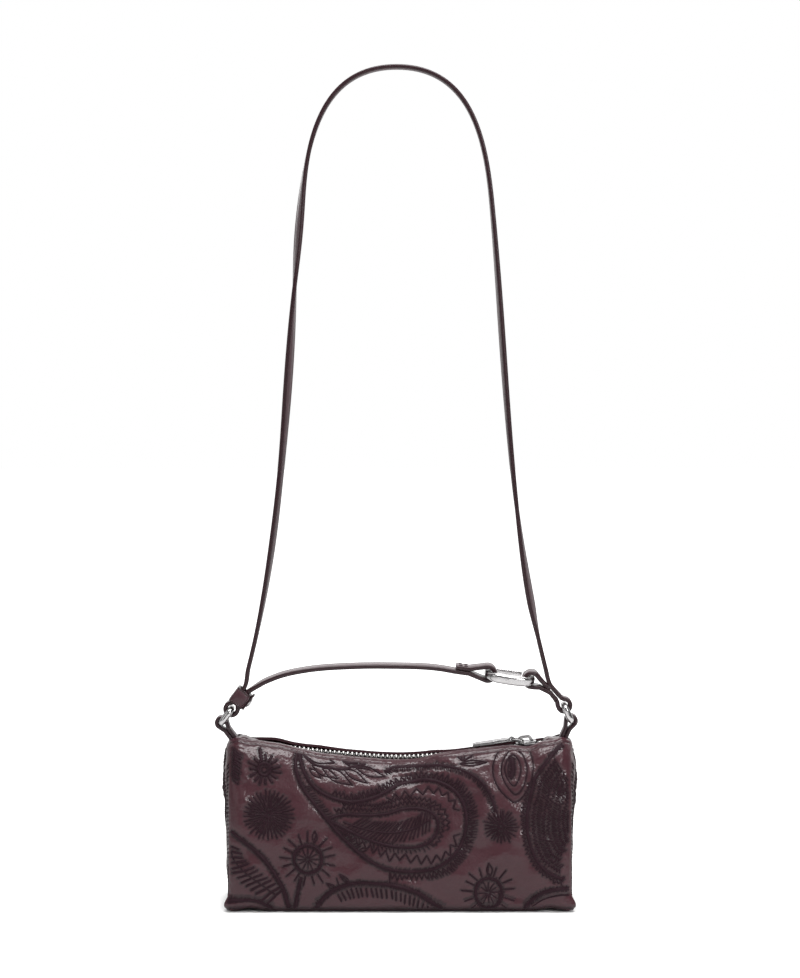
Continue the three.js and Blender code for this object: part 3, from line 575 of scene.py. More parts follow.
@dataclass(frozen=True)
class GlossyLeather(Finish):
    """Aniline-dyed lamb leather, drum dyed and ironed: deep colour, fine grain, soft gloss."""

    name: str = "glossy_aubergine_leather"
    slot: str = "leather"
    dark: str = "361b22"
    light: str = "43252b"
    # Painted shade colour: mixed in round the stitches, along the lip fold and at the foot, and
    # used for the end knobs' darker tone.
    shade_tone: str = "261218"
    pore_mm: float = 1.5
    crease_mm: float = 7.0
    crinkle_mm: float = 9.0
    cloud_mm: float = 34.0

    def shader(self, tree: Tree) -> Node:
        """Cloudy dye with painted shade round the stitches, along the lip fold and at the foot,
        over pores drawn coarse enough to show.

        Args:
            tree: The material's nodes.

        Returns:
            The node that gives the surface.
        """
        at = add(tree, "TexCoord").outputs["Object"]
        cloud = add(tree, "TexNoise", {"Vector": at, "Scale": 1000 / self.cloud_mm, "Detail": 3.0,
            "Roughness": 0.55})
        crease = add(tree, "TexNoise", {"Vector": at, "Scale": 1000 / self.crease_mm, "Detail": 4.0,
            "Roughness": 0.55, "Distortion": 0.6})
        crinkle = add(tree, "TexNoise", {"Vector": at, "Scale": 1000 / self.crinkle_mm,
            "Detail": 2.0, "Roughness": 0.45, "Distortion": 0.3})
        pore = add(tree, "TexVoronoi", {"Vector": at, "Scale": 1000 / self.pore_mm}, feature="F1")
        painted_shade_and_tone = add(tree, "Attribute", attribute_name="painted_shade_and_tone")
        dye = add(tree, "Mix", {0: cloud.outputs["Fac"], 6: linear(self.dark),
            7: linear(self.light)}, data_type="RGBA")
        # Painted shade: the dye turns towards the shade colour where the attribute is set.
        shaded_dye = add(tree, "Mix",
            {0: painted_shade_and_tone.outputs["Fac"], 6: dye.outputs[2], 7: linear(self.shade_tone)}, data_type="RGBA")
        gloss = add(tree, "MapRange", {"Value": crease.outputs["Fac"], "From Min": 0.3,
            "From Max": 0.7, "To Min": 0.33, "To Max": 0.44})
        duller = add(tree, "Math", {0: painted_shade_and_tone.outputs["Fac"], 1: 0.16, 2: gloss},
            operation="MULTIPLY_ADD")
        grain = add(tree, "Bump", {"Height": pore.outputs["Distance"], "Strength": 0.5,
            "Distance": 0.00026})
        lines = add(tree, "Bump", {"Height": crinkle.outputs["Fac"], "Strength": 0.4,
            "Distance": 0.0012, "Normal": grain})
        folds = add(tree, "Bump", {"Height": crease.outputs["Fac"], "Strength": 0.35,
            "Distance": 0.0011, "Normal": lines})
        return add(tree, "BsdfPrincipled", {"Base Color": shaded_dye.outputs[2], "Roughness": duller,
            "Normal": folds, "IOR": 1.5, "Specular IOR Level": 0.25, "Coat Weight": 0.34,
            "Coat Roughness": 0.17, "Coat Normal": folds})


@dataclass(frozen=True)
class SatinThread(Finish):
    """Viscose embroidery thread laid in close satin stitch: dark, with a soft silky sheen."""

    name: str = "viscose_satin_thread"
    slot: str = "leather"
    dark: str = "1d0d14"
    light: str = "2d1820"
    thread_mm: float = 0.45

    def shader(self, tree: Tree) -> Node:
        """Two near shades in fine threads, drawn about twice as coarse as real to show.

        Args:
            tree: The material's nodes.

        Returns:
            The node that gives the surface.
        """
        at = add(tree, "TexCoord").outputs["Object"]
        thread = add(tree, "TexNoise", {"Vector": at, "Scale": 500 / self.thread_mm, "Detail": 2.0,
            "Roughness": 0.5})
        shade = add(tree, "Mix", {0: thread.outputs["Fac"], 6: linear(self.dark),
            7: linear(self.light)}, data_type="RGBA")
        ridge = add(tree, "Bump", {"Height": thread.outputs["Fac"], "Strength": 0.5,
            "Distance": 0.0002})
        return add(tree, "BsdfPrincipled", {"Base Color": shade.outputs[2], "Roughness": 0.55,
            "Normal": ridge, "Specular IOR Level": 0.12, "Sheen Weight": 0.03,
            "Sheen Roughness": 0.4})


@dataclass(frozen=True)
class StrapLeather(Finish):
    """Bonded calf strap leather with inked and burnished edges: smooth, glossy, darker rims."""

    name: str = "burnished_strap_leather"
    slot: str = "strap_leather"
    dark: str = "382228"
    light: str = "462d33"
    inked: str = "281419"
    pore_mm: float = 0.8
    cloud_mm: float = 22.0

    def shader(self, tree: Tree) -> Node:
        """Cloudy dyed faces, inked edges, fine pores.

        Args:
            tree: The material's nodes.

        Returns:
            Stretches the leather over the wall, presses it down where it is sewn, and paints shade
            round the stitches, along the lip fold and at the foot.
        """
        at = add(tree, "TexCoord").outputs["Object"]
        cloud = add(tree, "TexNoise", {"Vector": at, "Scale": 1000 / self.cloud_mm, "Detail": 4.0})
        pore = add(tree, "TexVoronoi", {"Vector": at, "Scale": 1000 / self.pore_mm})
        edge = add(tree, "Attribute", attribute_name="edge")
        dye = add(tree, "Mix", {0: cloud.outputs["Fac"], 6: linear(self.dark),
            7: linear(self.light)}, data_type="RGBA")
        inked = add(tree, "Mix", {0: edge.outputs["Fac"], 6: dye.outputs[2], 7: linear(self.inked)},
            data_type="RGBA")
        gloss = add(tree, "MapRange", {"Value": cloud.outputs["Fac"], "To Min": 0.26,
            "To Max": 0.42})
        grain = add(tree, "Bump", {"Height": pore.outputs["Distance"], "Strength": 0.2,
            "Distance": 0.0001})
        return add(tree, "BsdfPrincipled", {"Base Color": inked.outputs[2], "Roughness": gloss,
            "Normal": grain, "Specular IOR Level": 0.36, "Coat Weight": 0.08,
            "Coat Roughness": 0.18})


@dataclass(frozen=True)
class PlatedMetal(Finish):
    """Nickel-plated zinc or brass, polished: bright, with faint hazy rub marks."""

    name: str = "polished_nickel_plate"
    slot: str = "silver"
    colour: str = "d2d0d0"
    hazed: str = "b8b6b7"
    haze_mm: float = 5.0
    rub_mm: float = 0.35
    rough_low: float = 0.14
    rough_high: float = 0.28

    def shader(self, tree: Tree) -> Node:
        """Patches of haze vary the gloss, and short rub marks break it up.

        Args:
            tree: The material's nodes.

        Returns:
            The node that gives the surface.
        """
        at = add(tree, "TexCoord").outputs["Object"]
        haze = add(tree, "TexNoise", {"Vector": at, "Scale": 1000 / self.haze_mm, "Detail": 4.0})
        rub = add(tree, "TexNoise", {"Vector": at, "Scale": 1000 / self.rub_mm, "Detail": 2.0})
        tone = add(tree, "Mix", {0: haze.outputs["Fac"], 6: linear(self.colour),
            7: linear(self.hazed)}, data_type="RGBA")
        gloss = add(tree, "MapRange", {"Value": haze.outputs["Fac"], "From Min": 0.3,
            "From Max": 0.7, "To Min": self.rough_low, "To Max": self.rough_high})
        marks = add(tree, "Bump", {"Height": rub.outputs["Fac"], "Strength": 0.12,
            "Distance": 0.00005})
        return add(tree, "BsdfPrincipled", {"Base Color": tone.outputs[2], "Metallic": 1.0,
            "Roughness": gloss, "Normal": marks})


@dataclass(frozen=True)
class WovenCloth(Finish):
    """Plain-weave polyester: matt, dark, with a fine over-and-under weave."""

    name: str = "woven_zip_tape"
    slot: str = "zip_tape"
    dark: str = "1f1518"
    light: str = "34262a"
    thread_mm: float = 0.5

    def shader(self, tree: Tree) -> Node:
        """Two crossing rows of threads, drawn a little coarser than real to show.

        Args:
            tree: The material's nodes.

        Returns:
            The node that gives the surface.
        """
        at = add(tree, "TexCoord").outputs["Object"]
        rows = [add(tree, "TexWave", {"Vector": at, "Scale": 1000 / self.thread_mm / 6.283,
            "Distortion": 0.4, "Detail": 1.0}, wave_type="BANDS", bands_direction=axis)
            for axis in ("X", "Y")]
        weave = add(tree, "Math", {0: rows[0].outputs["Fac"], 1: rows[1].outputs["Fac"]},
            operation="MULTIPLY")
        shade = add(tree, "Mix", {0: weave, 6: linear(self.dark), 7: linear(self.light)},
            data_type="RGBA")
        relief = add(tree, "Bump", {"Height": weave, "Strength": 0.6, "Distance": 0.0002})
        return add(tree, "BsdfPrincipled", {"Base Color": shade.outputs[2], "Roughness": 0.85,
            "Normal": relief, "Sheen Weight": 0.2})


@dataclass(frozen=True)
class FibreBoard(Finish):
    """Pressed cellulose board: dull brown-grey with short fibres."""

    name: str = "pressed_fibre_board"
    slot: str = "board"
    dark: str = "5a4f46"
    light: str = "7a6d62"
    fibre_mm: float = 1.6

    def shader(self, tree: Tree) -> Node:
        """Mottled fibres in two shades.

        Args:
            tree: The material's nodes.

        Returns:
            The node that gives the surface.
        """
        at = add(tree, "TexCoord").outputs["Object"]
        fibre = add(tree, "TexNoise", {"Vector": at, "Scale": 1000 / self.fibre_mm, "Detail": 6.0,
            "Distortion": 1.2})
        shade = add(tree, "Mix", {0: fibre.outputs["Fac"], 6: linear(self.dark),
            7: linear(self.light)}, data_type="RGBA")
        relief = add(tree, "Bump", {"Height": fibre.outputs["Fac"], "Strength": 0.4,
            "Distance": 0.0003})
        return add(tree, "BsdfPrincipled", {"Base Color": shade.outputs[2], "Roughness": 0.9,
            "Normal": relief})


LEATHER = GlossyLeather()
THREAD = SatinThread()
STRAP = StrapLeather()
SILVER = PlatedMetal()
TEETH_METAL = PlatedMetal(name="tumbled_nickel_teeth", colour="dcdad8", hazed="bfbdbc", haze_mm=2.0,
    rough_low=0.18, rough_high=0.32)
SPRING_STEEL = PlatedMetal(name="drawn_spring_steel", slot="spring_steel", colour="a9aaae",
    hazed="8d8e92", rough_low=0.28, rough_high=0.4)
PULL_METAL = PlatedMetal(name="brushed_nickel_pull", colour="a9a7a7", hazed="7d7b7c", haze_mm=3.0,
    rough_low=0.2, rough_high=0.36)
TAPE = WovenCloth()
LINING = WovenCloth(name="woven_lining", slot="lining_cloth", dark="211a1d", light="352b2f",
    thread_mm=0.7)
BOARD = FibreBoard()


def bevelled(obj: Piece, width: float, segments: int, **settings: Any) -> Piece:
    """Rounds a mesh's sharp edges."""
    return applied(obj, "BEVEL", width=width, segments=segments, limit_method="ANGLE", **settings)


def wear(obj: Piece, finish: Finish) -> None:
    """Gives a mesh one finish in place of any other."""
    obj.data.materials.clear()
    obj.data.materials.append(finish.material())


def dress(obj: Piece, finish: Finish, body: str | None, *nodes: str) -> Piece:
    """Gives a piece its finish, its body and the solids that it stands for.

    Args:
        obj: The finished piece.
        finish: What it is made of.
        body: Body that it rides on, or none for a piece that bends between bodies.
        nodes: Solids that it replaces.

    Returns:
        The same piece.
    """
    wear(obj, finish)
    if body is not None:
        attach(obj, body)
    if nodes:
        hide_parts(*nodes)
    LOG.info("%s: %d points, wears %s", obj.name, len(obj.data.vertices), finish.name)
    return obj


# Form of the body


@dataclass(frozen=True)
class BodyForm:
    """The stuffed form of the bag's body, whose section changes along the zip."""

    half_width: float = 100.0
    height: float = 98.0
    half_depth: float = 26.0
    foot: float = 2.3
    belly: float = 8.0
    belly_at_ends: float = 4.0
    belly_height: float = 36.0
    shoulder_inset: float = 2.0
    shoulder_drop: float = 2.5
    lip_half_gap: float = 7.0
    lip_rise: float = 0.9
    zip_sag: float = 10.8
    seam_turn: float = 9.0
    seam_pull: float = 4.2
    ear_reach: float = 2.8
    ear_height: float = 9.5
    toe_lift: float = 1.8
    end_drop: float = 1.6
    ear_depth: float = 1.6
    floor: float = 0.12
    foot_turn: float = 2.6

    @property
    def zip_radius(self) -> float:
        """Radius of the arc that the zip follows."""
        return (self.half_width**2 + self.zip_sag**2) / (2 * self.zip_sag)

    @property
    def zip_centre(self) -> float:
        """Height of the arc's centre."""
        return self.height - self.zip_sag + self.zip_radius

    def zip_height(self, x: Array) -> Array:
        """Height of the zip's middle line."""
        return self.zip_centre - np.sqrt(self.zip_radius**2 - np.asarray(x, float) ** 2)

    def dip(self, x: Array) -> Array:
        """How far the soft zip sinks in its middle, off its even arc."""
        return -1.1 * hump(np.asarray(x, float), 0, 26)

    def sway(self, x: Array) -> Array:
        """How far the lips sink in the middle and swell beside it."""
        return self.dip(x) + 0.5 * hump(np.abs(x), 56, 16)

    def on_zip(self, length: Array, y: Array, height: Array) -> Array:
        """Points at lengths along the zip and heights over its middle line.

        Args:
            length: Lengths along the zip from its middle.
            y: Depths.
            height: Heights over the middle line.

        Returns:
            The points, one row each.
        """
        angle = np.asarray(length, float) / self.zip_radius
        radius = self.zip_radius - np.asarray(height, float)
        x = radius * np.sin(angle)
        z = self.zip_centre - radius * np.cos(angle) + self.dip(x)
        return np.stack([x, np.broadcast_to(y, x.shape), z], axis=-1)

    def section(self, x: Array, share: Array, rise: Array | float, closing: Array | float = 0.0,
            slope: Array | float = 0.0) -> tuple[Array, Array]:
        """Half depth and height of the section at x, from the foot (0) to the lip (1).

        Args:
            x: Places along the zip.
            share: Places up the wall.
            rise: How far the lip stands over the zip's middle line.
            closing: How far the lip reaches in over the zip's tape.
            slope: How much lower the shoulder falls, which tilts the wall's top upwards.

        Returns:
            Half depths and heights.
        """
        end = (np.abs(x) / self.half_width) ** 2
        within = np.clip(x, -self.half_width, self.half_width)
        lip = self.zip_height(within) + self.sway(within) + rise
        lip = lip - self.end_drop * smoothstep(94, self.half_width, np.abs(x))
        swell = self.belly + (self.belly_at_ends - self.belly) * end
        t, u = share, 1 - share
        a, b, c, d = u**3, 3 * u**2 * t, 3 * u * t**2, t**3
        depth = (a * self.half_depth + b * (self.half_depth + swell)
            + c * (self.half_depth - self.shoulder_inset) + d * (self.lip_half_gap - closing))
        height = (a * self.foot + b * self.belly_height + c * (lip - self.shoulder_drop - slope)
            + d * lip)
        return depth, height

    def share_at(self, section: Callable[[Array, Array], tuple[Array, Array]], x: Array,
            z: Array) -> Array:
        """Place up a wall of a height z at x.

        Args:
            section: Gives half depths and heights of the wall.
            x: Places along the wall.
            z: Heights.

        Returns:
            Shares of the way up the wall.
        """
        low, high = np.zeros(len(x)), np.ones(len(x))
        for _ in range(30):
            middle = (low + high) / 2
            under = section(x, middle)[1] < z
            low, high = np.where(under, middle, low), np.where(under, high, middle)
        return (low + high) / 2

    def ear(self, z: Array) -> Array:
        """How strongly the bottom corners draw out into round toes at a height."""
        return ((1 - smoothstep(3.5, 1.5 + self.ear_height, z))
            * (0.4 + 0.6 * smoothstep(-0.6, 3.2, z)))

    def arch(self, x: Array, z: Array) -> Array:
        """How far the foot lifts off the ground just inside the toes."""
        return self.toe_lift * hump(np.abs(x), 87, 6) * (1 - smoothstep(0, 9, z))

    def rounded_foot(self, depth: Array, z: Array) -> tuple[Array, Array]:
        """Lets a section run down to the ground and turn under.

        Args:
            depth: Half depths.
            z: Heights.

        Returns:
            The new half depths and heights.
        """
        under = 1 - smoothstep(self.foot, self.foot + 5.0, z)
        lower = 1 - smoothstep(self.foot, self.foot + 14.0, z)
        return depth - self.foot_turn * under**2, z - (self.foot - self.floor) * lower


FORM = BodyForm()


@dataclass(frozen=True)
class Pull:
    """A soft ridge where stretched leather stands out, from one place on the front to another."""

    start: tuple[float, float]
    end: tuple[float, float]
    width: float
    height: float

    def at(self, x: Array, z: Array) -> Array:
        """Height of the ridge at places on the wall.

        Args:
            x: Places along the wall.
            z: Heights on it.

        Returns:
            The ridge's heights.
        """
        way = np.subtract(self.end, self.start)
        off_x, off_z = x - self.start[0], z - self.start[1]
        along = np.clip((off_x * way[0] + off_z * way[1]) / (way @ way), 0, 1)
        gap = np.hypot(off_x - along * way[0], off_z - along * way[1])
        return self.height * hump(gap, 0, self.width) * np.sin(pi * (0.15 + 0.7 * along))


PULLS = (Pull((46, 80), (51, 64), 4.5, 1.1), Pull((73, 89), (79, 73), 2.6, 0.8),
    Pull((95, 95), (79, 88), 1.5, 0.6), Pull((95, 93), (83, 82), 1.6, 0.7),
    Pull((95, 90), (87, 75), 1.7, 0.6), Pull((-40, 87), (-6, 80), 2.4, 0.6),
    Pull((-8, 81), (14, 81), 2.2, 0.6), Pull((18, 89), (34, 86), 2.0, 0.6),
    Pull((-96, 88), (-85, 70), 2.8, 0.5), Pull((-90, 95), (-86, 80), 1.9, 0.5),
    Pull((60, 47), (70, 40), 2.2, 0.5), Pull((-70, 44), (-58, 52), 2.6, 0.5))


@dataclass(frozen=True)
class Wrinkles:
    """Shallow dents and creases of soft leather, the same at every run."""

    seed: int
    waves: int = 16
    longest: float = 46.0
    shortest: float = 11.0
    steepness: float = 0.0085

    def at(self, a: Array, b: Array) -> Array:
        """Height of the dents at places on the flat leather.

        Args:
            a: Places along the leather.
            b: Places up the leather.

        Returns:
            The dents' heights.
        """
        draw = np.random.default_rng(self.seed)
        total = np.zeros(len(a))
        for wave in np.geomspace(self.longest, self.shortest, self.waves):
            turn, phase, warp = draw.uniform(0, 2 * pi, 3)
            way = a * math.cos(turn) + b * math.sin(turn)
            sideways = b * math.cos(turn) - a * math.sin(turn)
            bent = way + 0.12 * wave * np.sin(sideways * 2.2 / wave + warp)
            total += self.steepness * wave * np.sin(bent * 2 * pi / wave + phase)
        return total


class Wall:
    """A wall of the body that leather is stretched over and thread is sewn on."""

    wrinkles: Wrinkles

    def skin(self, a: Array, share: Array) -> Array:
        """Points of the smooth wall for places along it and up it."""
        raise NotImplementedError

    def section(self, a: Array, share: Array) -> tuple[Array, Array]:
        """Half depth or half width of the wall and its height."""
        raise NotImplementedError

    def place_up(self, a: Array, z: Array) -> Array:
        """Place up the wall of a height."""
        return FORM.share_at(self.section, a, z)

    def hold(self, a: Array, z: Array) -> Array:
        """How freely the leather can dent, from 0 at the seams to 1."""
        raise NotImplementedError

    def outward(self) -> tuple[float, float, float]:
        """Direction that the wall looks in."""
        raise NotImplementedError

    def lifted(self, a: Array, share: Array, lift: Array) -> Array:
        """Points over the dented wall.

        Args:
            a: Places along the wall.
            share: Places up the wall.
            lift: Heights over the dented skin.

        Returns:
            The points in millimetres.
        """
        step = 1e-3
        here = self.skin(a, share)
        along = self.skin(a + 0.05, share) - self.skin(a - 0.05, share)
        lower, upper = np.clip(share - step, 0, 1), np.clip(share + step, 0, 1)
        up = self.skin(a, upper) - self.skin(a, lower)
        normal = np.cross(along, up)
        normal /= norm(normal, axis=1)[:, None] + 1e-12
        if (normal @ np.asarray(self.outward())).mean() < 0:
            normal = -normal
        dent = self.wrinkles.at(a, here[:, 2]) * self.hold(a, here[:, 2])
        return here + normal * (dent + lift)[:, None]


@dataclass(frozen=True)
class PanelWall(Wall):
    """The front or the back wall. Places along it are X."""

    side: Side
    wrinkles: Wrinkles
    reach: float = 99.5
    eye_distance: float = 1500.0
    eye_height: float = 320.0
    plane_depth: float = 26.0
    end_rise: float = 1.6
    front_rise: float = 2.3
    back_rise: float = 1.4
    back_swell: float = 1.5
    mouth_drop: float = 3.2
    mouth_reach: float = 2.3
    pull_seat: float = 2.4
    front_slope: float = 4.2
    back_slope: float = 1.0

    def rise(self, x: Array) -> Array:
        """How far the lip stands over the zip: the front's sinks where the teeth show.

        Args:
            x: Places along the zip.

        Returns:
            The lip's heights over the zip.
        """
        flank = 1 - smoothstep(80, 96, np.abs(x))
        rise = FORM.lip_rise + self.end_rise * hump(np.abs(x), 95, 4.5)
        if self.side is Side.BACK:
            return rise + self.back_rise * flank + self.back_swell * hump(x, -73, 9)
        return (rise + self.front_rise * flank * (1 - 0.1 * smoothstep(36, 58, x))
            - self.mouth_drop * self.mouth(x) - self.pull_seat * hump(x, 75, 6.5))

    def mouth(self, x: Array) -> Array:
        """Where the front's lip leaves the teeth bare.

        Args:
            x: Places along the zip.

        Returns:
            1 where the teeth are bare, 0 elsewhere.
        """
        if self.side is Side.BACK:
            return np.zeros(len(x))
        return smoothstep(-74, -46, x) * (1 - smoothstep(4, 34, x))

    def section(self, x: Array, share: Array) -> tuple[Array, Array]:
        """Half depth and height of the wall, whose top slopes back most in the middle.

        Args:
            x: Places along the panel.
            share: Shares of the way up.

        Returns:
            Half depths and heights.
        """
        front = self.side is Side.FRONT
        slope = self.front_slope * hump(x, 4, 52) if front else self.back_slope
        return FORM.section(x, share, self.rise(x), self.mouth_reach * self.mouth(x), slope)

    def skin(self, a: Array, share: Array) -> Array:
        """The section, turned in at the side seams and drawn out at the bottom corners.

        Args:
            a: Places along the panel.
            share: Shares of the way up.

        Returns:
            The points, one row each.
        """
        depth, z = FORM.rounded_foot(*self.section(a, share))
        ear = FORM.ear(z)
        past = np.clip((np.abs(a) - (self.reach - FORM.seam_turn)) / FORM.seam_turn, 0, 1)
        depth = depth - FORM.seam_pull * (1 - np.sqrt(1 - 0.96 * past**2))
        point = ear * smoothstep(84, self.reach, np.abs(a)) ** 2
        x = a + np.sign(a) * FORM.ear_reach * point
        z = z + FORM.arch(a, z)
        return np.stack([x, self.side.sign * (depth + FORM.ear_depth * point), z], axis=1)

    def from_sight(self, seen: Array) -> Array:
        """Places on the wall of points drawn as an eye in front of the bag sees them.

        Args:
            seen: X and Z where the eye's lines cross the drawing plane.

        Returns:
            X and Z on the wall.
        """
        low, high = np.zeros(len(seen)), np.ones(len(seen))
        x = seen[:, 0].copy()
        for _ in range(26):
            middle = (low + high) / 2
            depth, z = self.section(x, middle)
            nearer = (self.eye_distance - self.plane_depth) / (self.eye_distance - depth)
            x = np.clip(seen[:, 0] / nearer, -FORM.half_width, FORM.half_width)
            under = self.eye_height + (z - self.eye_height) * nearer < seen[:, 1]
            low, high = np.where(under, middle, low), np.where(under, high, middle)
        height = self.section(x, (low + high) / 2)[1]
        return np.stack([x, height], axis=1)

    def hold(self, a: Array, z: Array) -> Array:
        """Free in the middle, held at the side seams, the foot and the lip.

        Args:
            a: Places along the panel.
            z: Heights on it.

        Returns:
            1 where the leather is free, 0 where it is held.
        """
        sides = smoothstep(0, 9, self.reach - np.abs(a))
        lip = smoothstep(1.5, 9, FORM.zip_height(np.clip(a, -99.9, 99.9)) - z)
        return sides * (0.15 + 0.85 * lip) * smoothstep(2, 12, z)

    def outward(self) -> tuple[float, float, float]:
        """To the front or the back, and up at the shoulder."""
        return 0.0, self.side.sign * 1.0, 0.3


@dataclass(frozen=True)
class GussetWall(Wall):
    """The left or the right wall. Places along it are Y."""

    side: Side
    wrinkles: Wrinkles
    seam_x: float = 99.4
    bulge: float = 2.4
    top_bulge: float = 2.2
    top_height: float = 80.0

    def half(self, share: Array) -> tuple[Array, Array]:
        """Half width of the wall and its height."""
        depth, z = FORM.rounded_foot(*self.section(share, share))
        return np.maximum(depth - 0.8 * FORM.seam_pull, 4.0), z

    def section(self, a: Array, share: Array) -> tuple[Array, Array]:
        """Half width and height of the wall before its foot turns under."""
        return FORM.section(np.full(len(share), FORM.half_width), share, FORM.lip_rise)

    def skin(self, a: Array, share: Array) -> Array:
        """A wall that swells between its seams, most below its top.

        Args:
            a: Places across the wall.
            share: Shares of the way up.

        Returns:
            The points, one row each.
        """
        half, z = self.half(share)
        across = np.clip(a / half, -1, 1)
        full = 1 - np.abs(across) ** 2.6
        top = self.top_bulge * hump(z, self.top_height, 15)
        swell = (self.bulge * np.sin(pi * np.clip(share, 0, 1)) ** 0.7 + top) * full
        point = FORM.ear(z) * smoothstep(0.45, 1, np.abs(across)) ** 2
        tuck = 1.6 * (1 - smoothstep(FORM.floor, FORM.floor + 3.5, z)) ** 2
        x = self.side.sign * (self.seam_x + swell - tuck + FORM.ear_reach * point)
        return np.stack([x, a + np.sign(a) * FORM.ear_depth * point, z], axis=1)

    def hold(self, a: Array, z: Array) -> Array:
        """Free in the middle of the wall."""
        return 0.8 * smoothstep(0, 10, 24 - np.abs(a)) * smoothstep(2, 12, z) * smoothstep(0, 10,
            FORM.height - z)

    def outward(self) -> tuple[float, float, float]:
        """To the left or the right."""
        return float(self.side.sign), 0.0, 0.0


# Embroidery


@dataclass
class Stroke:
    """One sewn line, drawn flat on its wall, with its width."""

    line: Array
    width: float
    ribbed: bool = True


@dataclass
class Needlework:
    """Draws traditional boteh, sun and leaf ornaments as sewn lines."""

    step: float = 0.55
    fine: float = 0.74
    bold: float = 1.05
    strokes: list[Stroke] = field(default_factory=list)
    hand: np.random.Generator = field(default_factory=lambda: np.random.default_rng(5))

    def sew(self, line: Array, width: float, ribbed: bool = True) -> Array:
        """Adds one line and gives it back."""
        self.strokes.append(Stroke(resample(line, self.step), width, ribbed))
        return line

    def rope(self, points: Sequence[Spot], width: float, closed: bool = False) -> Array:
        """Adds a smooth band through points and gives its line."""
        return self.band(flowing(points, self.step, closed), width)

    def band(self, line: Array, width: float) -> Array:
        """Adds a line, a wide one with satin stitches across it, and gives it back.

        Args:
            line: The line.
            width: Its width.

        Returns:
            The same line.
        """
        self.sew(line, width if width < 1.8 else width * 0.85)
        if width >= 1.8:
            self.barbs(line, width + 0.5, 1.05, self.fine * 0.85, 0.15, -(width + 0.5) / 2)
        return line

    def dashes(self, starts: Array, ends: Array, width: float) -> None:
        """Adds a plain straight stitch for each start and end.

        Args:
            starts: First ends.
            ends: Last ends.
            width: Width of the thread.
        """
        for start, end in zip(starts, ends):
            line = np.array([start, end]) + self.hand.normal(0, 1, (2, 2)) * [[0.12], [0.28]]
            self.sew(line, width, ribbed=False)

    def barbs(self, line: Array, reach: float, pitch: float, width: float, lean: float = 0.0,
            start: float = 0.0) -> None:
        """Adds short stitches that stand on a line.

        Args:
            line: The line that they stand on.
            reach: Their length, to the left of the line, or to its right if negative.
            pitch: Distance between them.
            width: Width of each.
            lean: How far each leans along the line, as a share of its length.
            start: Distance from the line to where they begin.
        """
        feet = resample(line, pitch)
        out = left_of(feet) * np.sign(reach)
        along = np.stack([out[:, 1], -out[:, 0]], axis=1) * np.sign(reach)
        first = feet + out * start
        self.dashes(first, first + out * abs(reach) + along * abs(reach) * lean, width)

    def zigzag(self, line: Array, near: float, far: float, pitch: float, width: float) -> None:
        """Adds a zigzag between two distances to the left of a line.

        Args:
            line: The line.
            near: Lesser distance.
            far: Greater distance.
            pitch: Length of a zig and a zag.
            width: Width of the thread.
        """
        feet = resample(line, pitch / 2)
        reach = np.where(np.arange(len(feet)) % 2 == 0, near, far)
        reach = reach + (far - near) * self.hand.normal(0, 0.13, len(feet))
        self.sew(feet + left_of(feet) * reach[:, None], width, ribbed=False)

    def leaf(self, foot: Spot, tip: Spot, fat: float, width: float, vein: bool = True) -> None:
        """Adds an almond-shaped leaf with a vein.

        Args:
            foot: Where the leaf grows from.
            tip: Its far end.
            fat: Half its breadth, as a share of its length.
            width: Width of the thread.
            vein: Whether it has a vein.
        """
        foot, tip = np.asarray(foot, float), np.asarray(tip, float)
        along = tip - foot
        aside = np.array([-along[1], along[0]]) * fat
        one, two = foot + along * 0.45 + aside, foot + along * 0.45 - aside
        self.sew(flowing([foot, one, tip], self.step), width)
        self.sew(flowing([foot, two, tip], self.step), width)
        if vein:
            self.dashes([foot + along * 0.12], [foot + along * 0.8], width * 0.9)

    def circle(self, centre: Spot, radius: float, width: float) -> None:
        """Adds a ribbed ring.

        Args:
            centre: Middle of the ring.
            radius: Its radius.
            width: Width of its band.
        """
        turn = np.linspace(0, 2 * pi, 40)
        ring = np.stack([np.cos(turn), np.sin(turn)], axis=1) * radius + np.asarray(centre)
        self.band(ring, width)

    def rays(self, centre: Spot, near: float, far: float, count: int, width: float,
            turn: float = 0.0) -> None:
        """Adds stitches that point away from a centre, every second one a little shorter.

        Args:
            centre: The centre.
            near: Distance of the first ends.
            far: Distance of the last ends.
            count: Number of stitches.
            width: Width of the thread.
            turn: Angle of the first, in radians.
        """
        angle = np.arange(count) * 2 * pi / count + turn
        way = np.stack([np.cos(angle), np.sin(angle)], axis=1)
        reach = np.where(np.arange(count) % 2 == 0, far, far - 0.14 * (far - near))
        middle = np.asarray(centre, float)
        self.dashes(middle + way * near, middle + way * reach[:, None], width)

    def spoked_sun(self, centre: Spot, hub: float, count: int, reach: float) -> None:
        """Adds a sun with thin spokes in a ribbed ring and strong rays round it.

        Args:
            centre: Middle of the sun.
            hub: Radius of the ring.
            count: Number of strong rays.
            reach: Distance of their tips.
        """
        self.rays(centre, 0.7, hub - 1.4, 12, self.fine * 0.9)
        self.circle(centre, hub, 2.3)
        self.rays(centre, hub + 1.6, reach, count, self.bold * 0.85, 0.12)

    def dense_sun(self, centre: Spot, rings: Sequence[tuple[float, float, int]],
            width: float) -> None:
        """Adds a sun made of rings of close stitches, each ring a near, a far and a count."""
        for place, (near, far, count) in enumerate(rings):
            self.rays(centre, near, far, count, width, 0.2 * place)

    def feather(self, spine: Array, left: float, right: float, pitch: float) -> None:
        """Adds a spine with leaning barbs on both sides.

        Args:
            spine: The spine's line.
            left: Length of the left barbs.
            right: Length of the right barbs.
            pitch: Distance between barbs.
        """
        self.sew(spine, self.fine)
        self.barbs(spine, left, pitch, self.bold * 1.2, lean=0.55)
        self.barbs(spine, -right, pitch, self.bold * 1.2, lean=-0.55)

